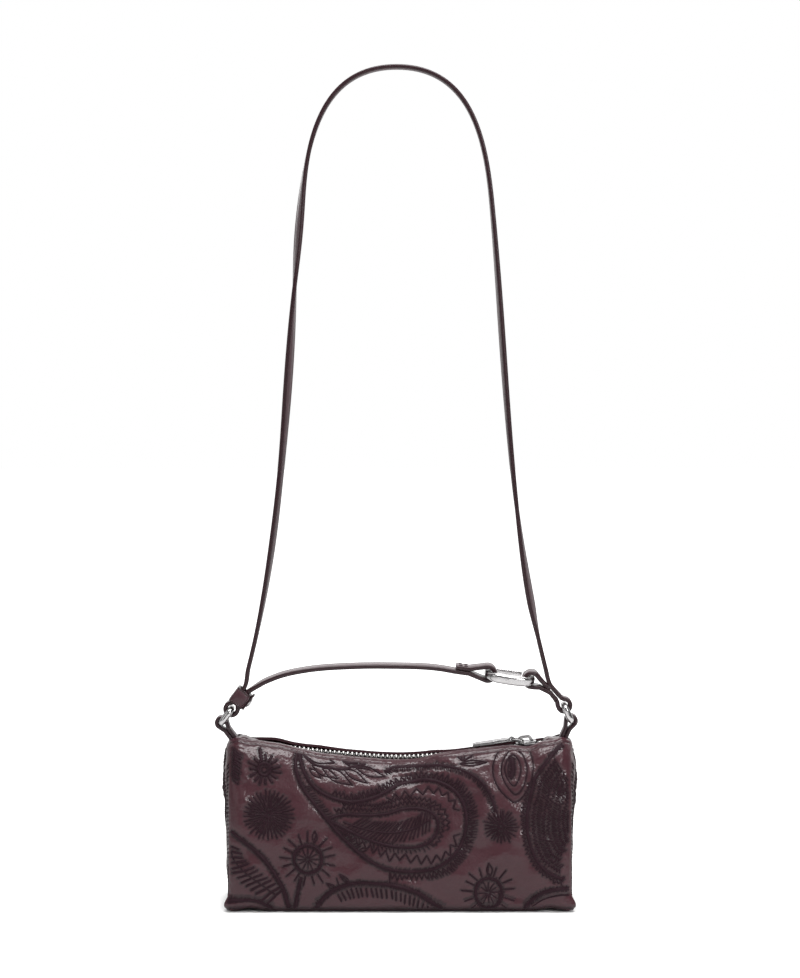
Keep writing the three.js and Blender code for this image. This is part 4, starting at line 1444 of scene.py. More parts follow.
    def trimmed(self, laid: Callable[[Array], Array],
            inside: Callable[[Array], Array]) -> list[Stroke]:
        """The strokes on their wall, cut off where they would leave it.

        Args:
            laid: Gives places on the wall for drawn points.
            inside: Says which places lie on the wall.

        Returns:
            The strokes that remain.
        """
        kept = []
        for stroke in self.strokes:
            line = laid(stroke.line)
            good = inside(line)
            breaks = np.flatnonzero(np.diff(good.astype(int))) + 1
            for part, flags in zip(np.split(line, breaks), np.split(good, breaks)):
                if flags[0] and len(part) > 2:
                    kept.append(Stroke(part, stroke.width, stroke.ribbed))
        return kept


BOTEH_RIM = [(-58.4, 94), (-60.3, 89.2), (-60.1, 82.6), (-57.6, 75.5), (-53.4, 68.4), (-48.8, 62.4),
    (-43.9, 56.3), (-39.7, 50.7), (-34.4, 44.6), (-27.7, 38), (-20.3, 31.9), (-12.8, 27.3),
    (-5.4, 24.6), (2.1, 23.6), (10.4, 23.3), (17.8, 24.6), (24.9, 27.9), (31.1, 32.9), (35.6, 39.6),
    (37.8, 46.7), (38.5, 54.2), (37.2, 61.7), (33.5, 68.8), (27.7, 73.8), (20.7, 76.6),
    (13.2, 77.4), (5.8, 76.3), (-0.4, 74.7), (-5.8, 71.3), (-12, 68), (-19.4, 65.5), (-26.9, 64.4),
    (-34.3, 65.2), (-40.9, 67.4), (-47.1, 70.9), (-52.1, 75.9), (-55.6, 82.1), (-57.5, 88.4)]
BOTEH_CORE = [(-41, 54.2), (-34.4, 50.1), (-26.1, 45.9), (-17.8, 42.1), (-9.5, 39.6), (-1.2, 38),
    (5.4, 37.5), (12.8, 38.8), (18.2, 42.1), (21.5, 47.1), (21.9, 52.1), (19.9, 56.7), (15.3, 59.6),
    (8.7, 60.7), (1.2, 60.1), (-5.4, 58), (-13.7, 56.7), (-22.8, 56.7), (-32.7, 56.9)]
LOW_TEETH = [(-33.9, 48), (-32.3, 43.8), (-29.8, 45.9), (-28.6, 41.3), (-25.7, 43.8), (-24.4, 38.8),
    (-21.1, 41.3), (-19.9, 36.3), (-17, 39.2), (-15.7, 34.6), (-12.8, 38), (-11.2, 32.5),
    (-8.3, 36.3), (-6, 29.4), (-2.9, 34.4), (-0.2, 30.2), (3.3, 34), (6.2, 28.4), (9.9, 33.2),
    (12.3, 27.5), (15.5, 33), (18, 27.8), (21.1, 33.4), (24, 29.6), (26.3, 35.6), (29.4, 32.6),
    (29.2, 39.2), (33, 38.4), (31, 44.4), (35, 45.6)]
TOP_TEETH = [(-7.9, 66.7), (-4.6, 65.5), (-2.9, 69.2), (0, 65.9), (2.9, 70.8), (5.8, 67),
    (9.5, 72.4), (13.2, 68.8), (16.3, 73.4), (19.4, 69.6), (22.3, 73), (24.4, 68.4), (27.9, 70.2),
    (28.2, 65), (32.3, 65.4), (30.8, 60.6), (34.3, 59.6)]
RIGHT_RIM = [(94, 97.6), (89.7, 93.6), (83.9, 86.3), (78.6, 78.4), (75.9, 68.4), (73.9, 58.4),
    (73.7, 50.1), (74.8, 41.7), (77.4, 33.8), (81.6, 27.1), (87.8, 22.1), (94.9, 19)]


def great_boteh(work: Needlework) -> None:
    """Sews the great boteh: ribbed rim, saw teeth, zigzags and a leaf in its core.

    Args:
        work: The drawing to sew into.
    """
    fine, bold = work.fine, work.bold
    rim = work.rope(BOTEH_RIM, 2.5, closed=True)
    work.zigzag(part(rim, 0.33, 0.88), -1.6, -5, 2.7, fine)
    work.barbs(part(rim, 0.46, 0.84), -2.2, 1.35, fine, start=1.2)
    work.barbs(part(rim, 0.40, 0.62), -3, 1.5, fine, 0.3, 3.4)
    work.sew(np.array(LOW_TEETH), fine * 1.15)
    work.sew(np.array(TOP_TEETH), fine * 1.1)
    work.barbs(part(rim, 0.08, 0.26), 2.4, 1.7, fine, 0.5, 1.4)

    core = work.rope(BOTEH_CORE, 2, closed=True)
    work.zigzag(part(core, 0.44, 0.97), -2, -4.4, 2.4, fine)
    work.zigzag(part(core, 0.50, 0.94), -5, -7, 2.2, fine)
    work.barbs(part(core, 0.08, 0.44), -1.9, 2.3, fine, 0.4, 1.3)
    spine = work.rope([(-32.7, 52.6), (-20.3, 48.4), (-7.9, 46.4), (2.1, 47.2), (10.3, 49.8),
        (17.4, 54.2)], bold)
    for reach in (6.4, -5.4):
        work.barbs(part(spine, 0.1), reach, 2.3, fine * 1.15, lean=0.85 * np.sign(reach))


def leaf_sprays(work: Needlework) -> None:
    """Sews the sprays under the lip and the arc over the great boteh's head.

    Args:
        work: The drawing to sew into.
    """
    fine, bold = work.fine, work.bold
    arc = work.rope([(-8.6, 82.6), (-3.7, 84.9), (2.1, 85.2), (9.5, 85.7), (17.8, 85.7),
        (25.2, 85.5), (32.7, 83.8), (40.1, 80.7), (46.3, 76.6), (50.9, 70.7), (53.8, 64.7),
        (55.4, 59.2)], 1.9)
    work.barbs(arc, -1.7, 1.3, fine * 0.8, 0.3, 0.8)
    work.rope([(-57.4, 93.4), (-54.1, 90.1), (-49.2, 86.3), (-41.8, 84.6), (-33.5, 83.4),
        (-27.7, 84.9), (-19.8, 86.3)], bold * 1.1)
    work.rope([(-35.1, 89.6), (-30.2, 86.9), (-24.4, 87), (-19.4, 87.9)], bold)
    for base, tip, fat in (((-55, 91.4), (-37.6, 87.2), 0.13), ((-45, 84.2), (-27.3, 74.1), 0.16),
            ((-51, 86.2), (-35.6, 77.8), 0.14), ((-33, 84), (-18.6, 75.2), 0.13),
            ((-26, 84.4), (-8.4, 79.6), 0.13), ((-52.6, 84.2), (-45.4, 78.2), 0.16),
            ((-34.4, 88.6), (-17.6, 83.6), 0.1)):
        work.leaf(base, tip, fat, fine * 0.85, vein=False)
    work.leaf((34.3, 86.5), (50.4, 87.6), 0.1, fine)
    work.dashes([(36.6, 88.4)] * 4, [(31.6, 92), (34.2, 92.8), (38.2, 92.4), (42, 91.2)], bold)
    work.rope([(20.6, 86.8), (22.4, 89.4), (25.8, 91)], fine)

    # Nested drops with a dark seed
    work.rope([(58.3, 95.9), (55, 90.1), (53.7, 83.4), (55, 76.7), (58.3, 70.9), (63.3, 65.9),
        (66.6, 64.2), (70.7, 66.7), (74.9, 73.4), (76.9, 80.9), (76.9, 87.6), (75.2, 93.4),
        (73.1, 96.3)], fine)
    work.rope([(63.2, 94.6), (59.5, 88.4), (58.7, 82.1), (60.8, 75.9), (64.5, 70.5), (67.4, 68.8),
        (70.6, 71.7), (73, 78.4), (73.3, 85.5), (71.1, 91.7), (67.4, 95)], fine)
    work.rope([(62.4, 89.6), (60.6, 83.8), (62.4, 78), (65.8, 73.7), (68.4, 76.9), (70, 83.4),
        (68.6, 89.2), (65.3, 92.1)], fine, closed=True)
    work.rope([(64.2, 79), (65.3, 84), (64.8, 90)], 3.2)
    work.leaf((64.4, 77.6), (64.8, 91), 0.16, fine)


def suns(work: Needlework) -> None:
    """Sews the spoked and the dense suns with their stems.

    Args:
        work: The drawing to sew into.
    """
    fine, bold = work.fine, work.bold
    work.circle((-78.5, 83.4), 1.5, fine)
    work.circle((-78.5, 83.4), 3.5, 2)
    work.rays((-78.5, 83.4), 4.6, 9.6, 15, bold * 1.5, 0.2)
    work.rope([(-81, 96), (-80.6, 92.5), (-79.9, 87.6)], 2.2)
    work.dense_sun((-76.1, 56.7), [(0.6, 4.6, 14), (3.8, 8.8, 30), (7.6, 11.6, 38),
        (9.4, 14.6, 34)], fine * 1.2)
    work.spoked_sun((-53.4, 30.9), 8.2, 17, 16.2)
    work.leaf((-49.4, 40.7), (-49.4, 47.4), 0.22, fine, vein=False)
    work.rope([(-57.4, 20), (-59.1, 12.5), (-60.9, 4.1)], 2.5)
    work.spoked_sun((51.4, 11.8), 7.6, 17, 15.8)
    work.leaf((52.6, 20.8), (51.4, 28.4), 0.22, fine, vein=False)
    work.dense_sun((58.4, 50.1), [(0.6, 3.6, 12), (3.2, 6.8, 24), (5.4, 9.8, 26)], fine * 1.3)


def panel_drawing() -> Needlework:
    """The ornaments of the front, by place in X and Z: a great boteh, suns, leaves and arcs.

    Returns:
        The drawing.
    """
    work = Needlework()
    fine, bold = work.fine, work.bold
    great_boteh(work)
    leaf_sprays(work)
    suns(work)

    # Boteh that runs on round the right seam, filled with close rows
    rim = work.rope(RIGHT_RIM, 2.4)
    work.zigzag(part(rim, 0.3), -1.2, -3.6, 2.3, fine)
    for row, reach in enumerate(np.arange(2.6, 24, 2.9)):
        rank = part(rim, 0.1 + 0.012 * row, 0.97 - 0.02 * row)
        if row % 3 == 1:
            work.barbs(rank, 2.6, 1.5, fine * 1.1, 0.5, reach)
        else:
            work.zigzag(rank, reach, reach + 2.4, 2.2 + 0.6 * (row % 2), fine * 1.1)

    # Feathers and bands at the left
    work.feather(flowing([(-95.3, 94), (-95.8, 86.7), (-97.2, 77.6)], work.step), 3.8, 2.6, 1.5)
    work.rope([(-95.3, 93.6), (-95.6, 88)], 2.6)
    work.rope([(-99.8, 48), (-92.3, 42.5), (-84.9, 36.7), (-78.3, 30), (-72.5, 21.7), (-67.5, 12.5),
        (-64.3, 3.7)], 3)
    quill = flowing([(-99, 38.4), (-96.5, 30), (-91.5, 25), (-84.9, 19.2), (-75.8, 12.5),
        (-71.7, 10.4)], work.step)
    work.feather(quill, 5.4, 6.2, 3.4)
    work.rope([(-100.3, 7.4), (-94.9, 8), (-86.6, 7.9), (-80, 6.6), (-72.5, 2.8)], 2.4)

    # Arcs along the foot
    arc = work.rope([(-50.2, 2.4), (-44.3, 9.1), (-36.9, 13.7), (-28.6, 16.2), (-17.8, 16.6),
        (-7.9, 16.1), (0.4, 14.8), (7.9, 12.3), (14.9, 9), (21.1, 5.4), (28.6, 1.2)], 2.9)
    work.barbs(part(arc, 0.2, 0.86), -4.8, 3, bold, 0.25, 2.6)
    work.leaf((-29, 16.5), (-35.2, 22.2), 0.14, fine)
    work.leaf((-36.7, 13.1), (-42.8, 16.9), 0.16, fine)
    work.sew(np.array([(-36.9, 20), (-35.1, 14.8)]), fine)
    work.sew(np.array([(-6, 23.5), (-6, 16.5)]), fine)
    work.rope([(70.1, 1.2), (75.8, 7.3), (82.5, 11.5), (89.9, 13.6), (97.8, 13.7)], 2.6)
    work.rope([(76.7, 4.9), (84.1, 8.7), (92.4, 10.6), (98, 10.4)], fine)
    return work


def gusset_drawing() -> Needlework:
    """The ornaments of a side wall, by place in Y and Z: a boteh, a sun and corded seams.

    Returns:
        The drawing.
    """
    work = Needlework()
    rim = work.rope([(-4, 78), (-12, 66), (-13, 52), (-5, 43), (6, 43), (12.5, 52), (9, 63),
        (1, 68)], 2.4, closed=True)
    work.zigzag(rim, -1.2, -3.6, 2.3, work.fine)
    work.rope([(-3.5, 64), (-7, 55), (-1, 49), (5.5, 52), (3, 59)], 1.6, closed=True)
    work.spoked_sun((0, 23), 6.4, 15, 13)
    for side in (-1, 1):
        seam = work.rope([(side * 21.5, 10), (side * 23, 40), (side * 20.5, 70), (side * 15, 86)],
            2.8)
        work.barbs(seam, 3.0 * side, 2.4, work.fine * 1.2, lean=0.5 * side, start=1.4)
    work.feather(flowing([(0, 80), (0, 85), (0, 90)], work.step), 4, 4, 2.2)
    for z in np.arange(15, 78, 4.6):
        work.rope([(-5.4, z - 1.2), (0, z + 0.4), (5.4, z - 1.2)], 2.8)
    return work


@dataclass
class EmbroideredWall:
    """A leather wall of the body with its sewn ornaments."""

    wall: Wall
    leather_name: str
    thread_name: str
    node: str
    across: int
    up: int
    thickness: float = 1.5
    rib: float = 0.7
    flatness: float = 0.5
    press_depth: float = 0.22
    press_reach: float = 0.7
    shade_reach: float = 0.45
    puff: float = 0.16
    puff_reach: float = 4.5
    lip_fold_at: float = 4.4
    lip_fold_depth: float = 0.45
    lip_crease: float = 0.12
    strokes: list[Stroke] = field(default_factory=list)

    def nearness(self, a: Array, z: Array) -> Array:
        """Distance of places on the wall from the nearest stroke's rim.

        Args:
            a: Places along the wall.
            z: Heights on it.

        Returns:
            The distances.
        """
        samples = np.vstack([stroke.line for stroke in self.strokes])
        halves = np.concatenate([np.full(len(s.line), s.width / 2) for s in self.strokes])
        tree = KDTree(len(samples))
        for index, (x, y) in enumerate(samples):
            tree.insert((x, y, 0.0), index)
        tree.balance()
        gaps = np.empty(len(a))
        for index, place in enumerate(zip(a, z)):
            _, nearest, distance = tree.find((place[0], place[1], 0.0))
            gaps[index] = distance - halves[nearest]
        return np.maximum(gaps, 0.0)

    def build_leather(self, along: Form) -> Piece:
        """Stretches the leather over the wall and presses it down where it is sewn.

        Args:
            along: Gives places along the wall for shares across and up.

        Returns:
            The leather, with its thickness.
        """
        shade: list[Array] = []

        def place(u: Array, v: Array) -> Array:
            """Points of the sewn leather.

            Args:
                u: Shares along the grid.
                v: Shares up the grid.

            Returns:
                The points, one row each.
            """
            share = 1 - (1 - v) ** 1.15
            a = along(u, share)
            z = self.wall.skin(a, share)[:, 2]
            gap = self.nearness(a, z)
            dip = hump(gap, 0, self.press_reach)
            # Painted shade: the leather's colour darkens in a narrow band round each stitch.
            painted_shade_and_tone = hump(gap, 0, self.shade_reach)
            puff = 1 - hump(gap, 0, self.puff_reach)
            lift = self.puff * puff * self.wall.hold(a, z) - self.press_depth * dip
            if isinstance(self.wall, PanelWall):
                below = norm(self.wall.skin(a, share) - self.wall.skin(a, np.ones(len(a))), axis=1)
                fold = (hump(below, self.lip_fold_at, 0.9)
                    * (0.45 + 0.55 * smoothstep(25, 60, np.abs(a))))
                crease = (np.sin(below * 1.7 + 1.3 * np.sin(a / 15) + a / 19) * hump(below, 8, 6)
                    * (0.6 + 0.4 * np.sin(a / 21 + 1)))
                lift = lift - self.lip_fold_depth * fold + self.lip_crease * crease
                for ridge in PULLS:
                    lift = lift + ridge.at(a, z)
                # Painted shade along the fold under the lip.
                painted_shade_and_tone = np.maximum(painted_shade_and_tone, 0.6 * fold)
            # Painted shade at the foot, darkest where the wall meets the floor.
            painted_shade_and_tone = np.maximum(painted_shade_and_tone, 1 - smoothstep(1.0, 5.0, z))
            shade.append(painted_shade_and_tone)
            return self.wall.lifted(a, share, lift)

        obj = stretched_grid(self.leather_name, self.across, self.up, place, self.wall.outward())
        paint(obj, "painted_shade_and_tone", shade[0])
        applied(obj, "SOLIDIFY", thickness=self.thickness * MM, offset=-1.0)
        return smooth_shaded(obj, 60)

    def build_thread(self) -> Piece:
        """Draws the strokes flat as beads and wraps them over the leather.

        Returns:
            The piece.
        """
        runs = []
        for stroke in self.strokes:
            radii = np.full(len(stroke.line), stroke.width / 2)
            if stroke.ribbed and stroke.width > 1.2:
                radii[1::2] *= self.rib
            radii[0] *= 0.6
            radii[-1] *= 0.6
            runs.append(Run(stroke.line, radii))
        obj = swept(self.thread_name, runs)
        flat = coords(obj)
        lift = np.sign(flat[:, 2]) * self.flatness * np.abs(flat[:, 2]) ** 0.75
        share = self.wall.place_up(flat[:, 0], flat[:, 1])
        if isinstance(self.wall, PanelWall):
            lift = lift + sum(ridge.at(flat[:, 0], flat[:, 1]) for ridge in PULLS)
        move_points(obj, self.wall.lifted(flat[:, 0], share, lift) * MM)
        return smooth_shaded(edited(obj, face_out), 75)

    def build(self, along: Form) -> None:
        """Makes and dresses the leather and its embroidery."""
        dress(self.build_leather(along), LEATHER, "bag", self.node)
        dress(self.build_thread(), THREAD, "bag")


@dataclass
class Body:
    """Front, back, side walls, base, lining and board."""

    panel_cells: tuple[int, int] = (270, 160)
    gusset_cells: tuple[int, int] = (64, 110)
    base_half_width: float = 96.4
    base_half_depth: float = 22.6
    base_waist: float = 1.2
    base_thickness: float = 2.0
    lining_inset: float = 2.8
    lining_thickness: float = 0.8
    lining_floor: float = 4.2

    def build(self) -> None:
        """Makes all of the body."""
        drawing = panel_drawing()
        for side, seed in ((Side.FRONT, 11), (Side.BACK, 23)):
            self.build_panel(side, seed, drawing)
        for side, seed in ((Side.LEFT, 31), (Side.RIGHT, 37)):
            self.build_gusset(side, seed)
        dress(self.build_base(), LEATHER, "bag", "base_panel")
        dress(self.build_lining(), LINING, "bag", "lining")
        wear(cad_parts["base_board"], BOARD)

    def build_panel(self, side: Side, seed: int, drawing: Needlework) -> None:
        """Makes an embroidered panel. The back's drawing reads the same from behind.

        Args:
            side: Front or back.
            seed: Seed of the leather's dents.
            drawing: The ornaments.
        """
        wall = PanelWall(side, Wrinkles(seed))
        name = side.value

        def inside(line: Array) -> Array:
            """Whether places lie well within the panel, clear of its seams and its lip fold."""
            share = wall.place_up(line[:, 0], line[:, 1])
            return (np.abs(line[:, 0]) < 98.2) & (line[:, 1] > 3.4) & (share < 0.9)

        strokes = drawing.trimmed(wall.from_sight, inside)
        if side is Side.BACK:
            strokes = [Stroke(s.line * (-1, 1), s.width, s.ribbed) for s in strokes]
        piece = EmbroideredWall(wall, f"{name}_leather", f"{name}_embroidery", f"{name}_panel",
            *self.panel_cells, strokes=strokes)
        piece.build(lambda u, share: wall.reach * (2 * u - 1))

    def build_gusset(self, side: Side, seed: int) -> None:
        """Makes one of the two embroidered side walls.

        Args:
            side: Left or right.
            seed: Seed of the leather's dents.
        """
        wall = GussetWall(side, Wrinkles(seed))
        name = side.value

        def inside(line: Array) -> Array:
            """Whether places lie well within the side wall."""
            share = wall.place_up(line[:, 0], np.clip(line[:, 1], 3, 96))
            return (np.abs(line[:, 0]) < wall.half(share)[0] - 1.2) & (line[:, 1] > 3.5)

        piece = EmbroideredWall(wall, f"{name}_gusset_leather", f"{name}_gusset_embroidery",
            f"{name}_gusset", *self.gusset_cells, strokes=gusset_drawing().trimmed(np.copy, inside))
        piece.build(lambda u, share: (2 * u - 1) * wall.half(share)[0])

    def build_base(self) -> Piece:
        """A flat base, a little waisted, whose corners run out into points.

        Returns:
            The piece.
        """
        reach_x = self.base_half_width + FORM.ear_reach
        reach_y = self.base_half_depth + FORM.ear_depth

        def place(u: Array, v: Array) -> Array:
            """Points of the plate's middle, drawn in along the sides.

            Args:
                u: Shares along the grid.
                v: Shares up the grid.

            Returns:
                The points, one row each.
            """
            p, q = 2 * u - 1, 2 * v - 1
            x = p * (reach_x - FORM.ear_reach * (1 - q**2) ** 0.6)
            y = q * (reach_y - (FORM.ear_depth + self.base_waist) * (1 - p**2) ** 0.45)
            z = self.base_thickness / 2 + FORM.arch(x, np.zeros(len(x))) * smoothstep(0.4, 1,
                np.abs(q))
            return np.stack([x, y, z], axis=1)

        obj = stretched_grid("base_leather", 80, 24, place, (0, 0, 1))
        applied(obj, "SOLIDIFY", thickness=self.base_thickness * MM, offset=0.0)
        bevelled(obj, 0.7 * MM, 3, angle_limit=radians(60))
        return smooth_shaded(obj, 50)

    def build_lining(self) -> Piece:
        """A cloth tub that follows the leather inside, from one lip down and up to the other.

        Returns:
            The piece.
        """
        half = FORM.half_width - 3.0

        def tub(x: Array, t: Array) -> Array:
            """Points round the tub at x, from the front lip (-1) to the back lip (1).

            Args:
                x: Places along the bag.
                t: Places round the tub.

            Returns:
                The points, one row each.
            """
            share = np.clip((np.abs(t) - 0.2) / 0.8, 0, 1) * 0.8
            depth, z = FORM.section(x, share, FORM.lip_rise - 3.5, slope=5.0)
            depth = (depth - self.lining_inset) * np.clip(np.abs(t) / 0.2, 0, 1)
            return np.stack([x, np.sign(t) * depth, np.maximum(z, self.lining_floor)], axis=1)

        trough = stretched_grid("lining_cloth", 60, 90,
            lambda u, v: tub((2 * u - 1) * half, 2 * v - 1), (0, 0, -1))
        ends = []
        for side in (-1, 1):
            def end_wall(u: Array, v: Array, side: int = side) -> Array:
                """Points of the tub's end.

                Args:
                    u: Shares across the end.
                    v: Shares up the end.
                    side: -1 at the left, 1 at the right.

                Returns:
                    The points, one row each.
                """
                rim = tub(np.full(len(v), side * half), 0.2 + 0.8 * v)
                rim[:, 1] *= 2 * u - 1
                return rim

            ends.append(stretched_grid(f"lining_end_{side}", 24, 36, end_wall, (side, 0, 0)))
        obj = joined("lining_cloth", [trough, *ends])
        applied(obj, "SOLIDIFY", thickness=self.lining_thickness * MM, offset=-1.0)
        return smooth_shaded(obj, 50)


# Zip


@dataclass
class Zip:
    """Tapes, teeth, stops, end tabs, slider, link and pull of the metal zip."""

    tape_end: float = 91.0
    tape_thickness: float = 0.6
    tape_inner: float = 3.2
    tape_flat: float = 4.9
    tape_outer: float = 9.4
    tape_fall: float = 2.9
    pitch: float = 2.6
    teeth: int = 58
    chain_start: float = -79.5
    tooth_length: float = 1.15
    tooth_head: float = 0.9
    tooth_root: float = 2.9
    tooth_height: float = 2.7
    tooth_taper: tuple[float, float, float] = (0.62, 1.0, 0.42)
    stop_length: float = 2.6
    bottom_stop: float = -82.7
    top_stop: float = 81.418
    top_stop_aside: float = 2.3
    top_stop_width: float = 1.2
    bottom_stop_width: float = 5.8
    left_knob: tuple[float, float, float] = (-96.5, -83.0, -93.0)
    right_knob: tuple[float, float, float] = (84.5, 96.5, 87.0)
    slider_at: float = 74.818
    slider_length: float = 12.0
    slider_half_width: float = 4.4
    slider_nose: float = 3.6
    slider_wall: float = 1.0
    slider_half_height: float = 2.6
    crown_length: float = 9.4
    crown_height: float = 3.8
    crown_thickness: float = 1.6
    crown_width: float = 3.0
    link_pivot: tuple[float, float] = (72.356, 96.413)
    link_reach: float = 6.6
    link_width: float = 4.9
    link_wire: float = 1.3
    link_tilt: float = 6.0
    pull_pivot: tuple[float, float] = (65.792, 97.103)
    pull_length: float = 25.0
    pull_width: float = 7.4
    pull_thickness: float = 2.0
    pull_shoulder: float = 1.8
    pull_tilt: float = -9.0

    def build(self) -> None:
        """Makes all of the zip."""
        for side, name in ((-1, "front"), (1, "back")):
            dress(self.build_tape(side, name), TAPE, "bag", f"{name}_zip_tape")
            dress(self.build_teeth(side, name), TEETH_METAL, "bag", f"{name}_zip_teeth")
            stop = self.build_stop(f"{name}_top_stop", self.top_stop, side * self.top_stop_aside,
                self.top_stop_width)
            dress(stop, TEETH_METAL, "bag", f"{name}_zip_top_stop")
        dress(self.build_stop("bottom_stop", self.bottom_stop, 0.0, self.bottom_stop_width),
            TEETH_METAL, "bag", "zip_bottom_stop")
        for name, knob in (("left", self.left_knob), ("right", self.right_knob)):
            dress(self.build_end_tab(f"{name}_zip_knob", *knob), LEATHER, "bag",
                f"{name}_zip_end_tab")
        dress(self.build_slider(), PULL_METAL, "slider", "zip_slider")
        dress(self.build_link(), PULL_METAL, "link", "pull_link")
        dress(self.build_pull(), PULL_METAL, "pull", "pull_tab")

    def seat(self, length: float) -> Matrix:
        """Place on the zip's middle line, with X along it.

        Args:
            length: Length along the zip.

        Returns:
            The place.
        """
        angle = length / FORM.zip_radius
        arc = Vector((math.sin(angle), 0, -math.cos(angle))) * FORM.zip_radius
        return (Matrix.Translation(arc + Vector((0, 0, FORM.zip_centre)))
            @ Matrix.Rotation(-angle, 4, "Y"))

    def build_tape(self, side: int, name: str) -> Piece:
        """A woven tape that lies beside the teeth and falls away under the lip.

        Args:
            side: -1 in front, 1 behind.
            name: The side in words.

        Returns:
            The piece.
        """
        def place(u: Array, v: Array) -> Array:
            """Points of the tape.

            Args:
                u: Shares along the grid.
                v: Shares up the grid.

            Returns:
                The points, one row each.
            """
            across = self.tape_inner + v * (self.tape_outer - self.tape_inner)
            past = np.clip((across - self.tape_flat) / (self.tape_outer - self.tape_flat), 0, 1)
            ripple = 0.08 * np.sin(u * 150) * past
            length = (2 * u - 1) * self.tape_end
            sunk = 1.1 * smoothstep(-50, -38, length) * (1 - smoothstep(10, 32, length))
            return FORM.on_zip(length, side * across,
                0.3 - sunk - self.tape_fall * past**1.3 + ripple)

        obj = stretched_grid(f"{name}_tape", 150, 8, place, (0, 0, 1))
        applied(obj, "SOLIDIFY", thickness=self.tape_thickness * MM, offset=-1.0)
        return smooth_shaded(obj)

    def build_teeth(self, side: int, name: str) -> Piece:
        """A row of bevelled teeth: one is shaped, repeated along a line and bent to the arc.

        Args:
            side: -1 in front, 1 behind.
            name: The side in words.

        Returns:
            The piece.
        """
        width = self.tooth_root + self.tooth_head
        tooth = block(f"{name}_teeth", (self.tooth_length, width, self.tooth_height),
            (0, side * (self.tooth_root - width / 2), 0))
        shape_faces(tooth, lambda normal: normal.y * side < -0.5,
            lambda: bpy.ops.transform.resize(value=self.tooth_taper))
        bevelled(tooth, 0.28, 2)
        applied(tooth, "ARRAY", count=self.teeth, use_relative_offset=False,
            use_constant_offset=True, constant_offset_displace=(self.pitch, 0, 0))
        first = self.chain_start + (self.pitch / 2 if side > 0 else 0) + self.tooth_length / 2
        flat = coords(tooth)
        move_points(tooth, FORM.on_zip(flat[:, 0] + first, flat[:, 1], flat[:, 2] + 0.15) * MM)
        return smooth_shaded(tooth, 50)

    def build_stop(self, name: str, start: float, middle: float, width: float) -> Piece:
        """A clamped metal stop with soft edges.

        Args:
            name: Name of the piece.
            start: Where it starts on the zip.
            middle: Depth of its middle.
            width: Its size in depth.

        Returns:
            The piece.
        """
        obj = block(name, (self.stop_length, width, self.tooth_height - 0.3),
            (self.stop_length / 2, middle, 0))
        bevelled(obj, 0.4, 3)
        scaled_to_metres(obj, self.seat(start))
        return smooth_shaded(obj)

    def build_end_tab(self, name: str, start: float, end: float, top: float) -> Piece:
        """A small padded leather knob folded over an end of the zip, highest at its top.

        Args:
            name: Name of the piece.
            start: Where it starts on the zip.
            end: Where it ends.
            top: Where it is highest.

        Returns:
            The piece.
        """
        def place(u: Array, v: Array) -> Array:
            """Points of the knob's crowned skin.

            Args:
                u: Shares along the grid.
                v: Shares up the grid.

            Returns:
                The points, one row each.
            """
            p, q = 2 * u - 1, 2 * v - 1
            crown = np.sqrt(np.clip(1 - np.abs(p) ** 3, 0, 1) * np.clip(1 - np.abs(q) ** 2.5, 0, 1))
            length = (start + end) / 2 + p * (end - start) / 2
            knob = 1.3 * hump(length, top, 3.4)
            return FORM.on_zip(length, q * 6.4, 0.5 + (1.7 + knob) * crown)

        obj = stretched_grid(name, 24, 20, place, (0, 0, 1))
        # The same attribute gives the whole knob an even, darker tone.
        paint(obj, "painted_shade_and_tone", np.full(len(obj.data.vertices), 0.35))
        applied(obj, "SOLIDIFY", thickness=0.9 * MM, offset=-1.0)
        return smooth_shaded(obj, 60)

    def build_slider(self) -> Piece:
        """Two plates with turned-down sides, a neck between them and an arched crown on top.

        Returns:
            The piece.
        """
        half = self.slider_length / 2
        plates = []
        for up in (-1, 1):
            middle = up * (self.slider_half_height - self.slider_wall / 2)
            plate = block(f"slider_plate_{up}",
                (self.slider_length, 2 * self.slider_half_width, self.slider_wall), (0, 0, middle))
            taper = (1, self.slider_nose / self.slider_half_width, 1)
            shape_faces(plate, lambda normal: normal.x < -0.5,
                lambda taper=taper: bpy.ops.transform.resize(value=taper))
            plates.append(plate)
            for side in (-1, 1):
                flange = block(f"slider_flange_{up}_{side}", (self.slider_length * 0.56, 0.9, 1.0),
                    (half * 0.3, side * (self.slider_half_width - 0.45),
                    up * (self.slider_half_height - 1.45)))
                plates.append(flange)
        plates.append(block("slider_neck", (4.0, 2.4, 2 * self.slider_half_height - 1.0),
            (2.6, 0, 0)))
        body = joined("slider_body", plates)
        bevelled(body, 0.3, 3)
        foot = self.slider_half_height - 0.4
        top = self.slider_half_height + self.crown_height - self.crown_thickness / 2
        reach = self.crown_length / 2 - self.crown_thickness / 2
        arch = flowing([(-reach, foot), (-reach, top - 1.2), (-reach * 0.62, top - 0.1), (0, top),
            (reach * 0.55, top - 0.25), (reach * 0.86, top - 2.2), (reach, foot)], 0.4)
        crown = swept("slider_crown", [Run(arch)],
            rounded_section(self.crown_thickness, self.crown_width, 0.35, 3))
        crown.data.transform(STAND_UP)
        obj = joined("zip_slider_metal", [body, crown])
        scaled_to_metres(obj, self.seat(self.slider_at))
        return smooth_shaded(obj)

    def build_link(self) -> Piece:
        """A small wire link that hangs in the crown.

        Returns:
            The piece.
        """
        route = rounded_section(self.link_reach, self.link_width, 1.3, 6)
        obj = swept("pull_link_wire", [Run(route, closed=True)], radius=self.link_wire / 2,
            roundness=3)
        obj.data.transform(Matrix.Translation((-self.link_reach / 2, 0, 0)))
        return smooth_shaded(scaled_to_metres(obj, tilted(self.link_pivot, self.link_tilt)), 70)

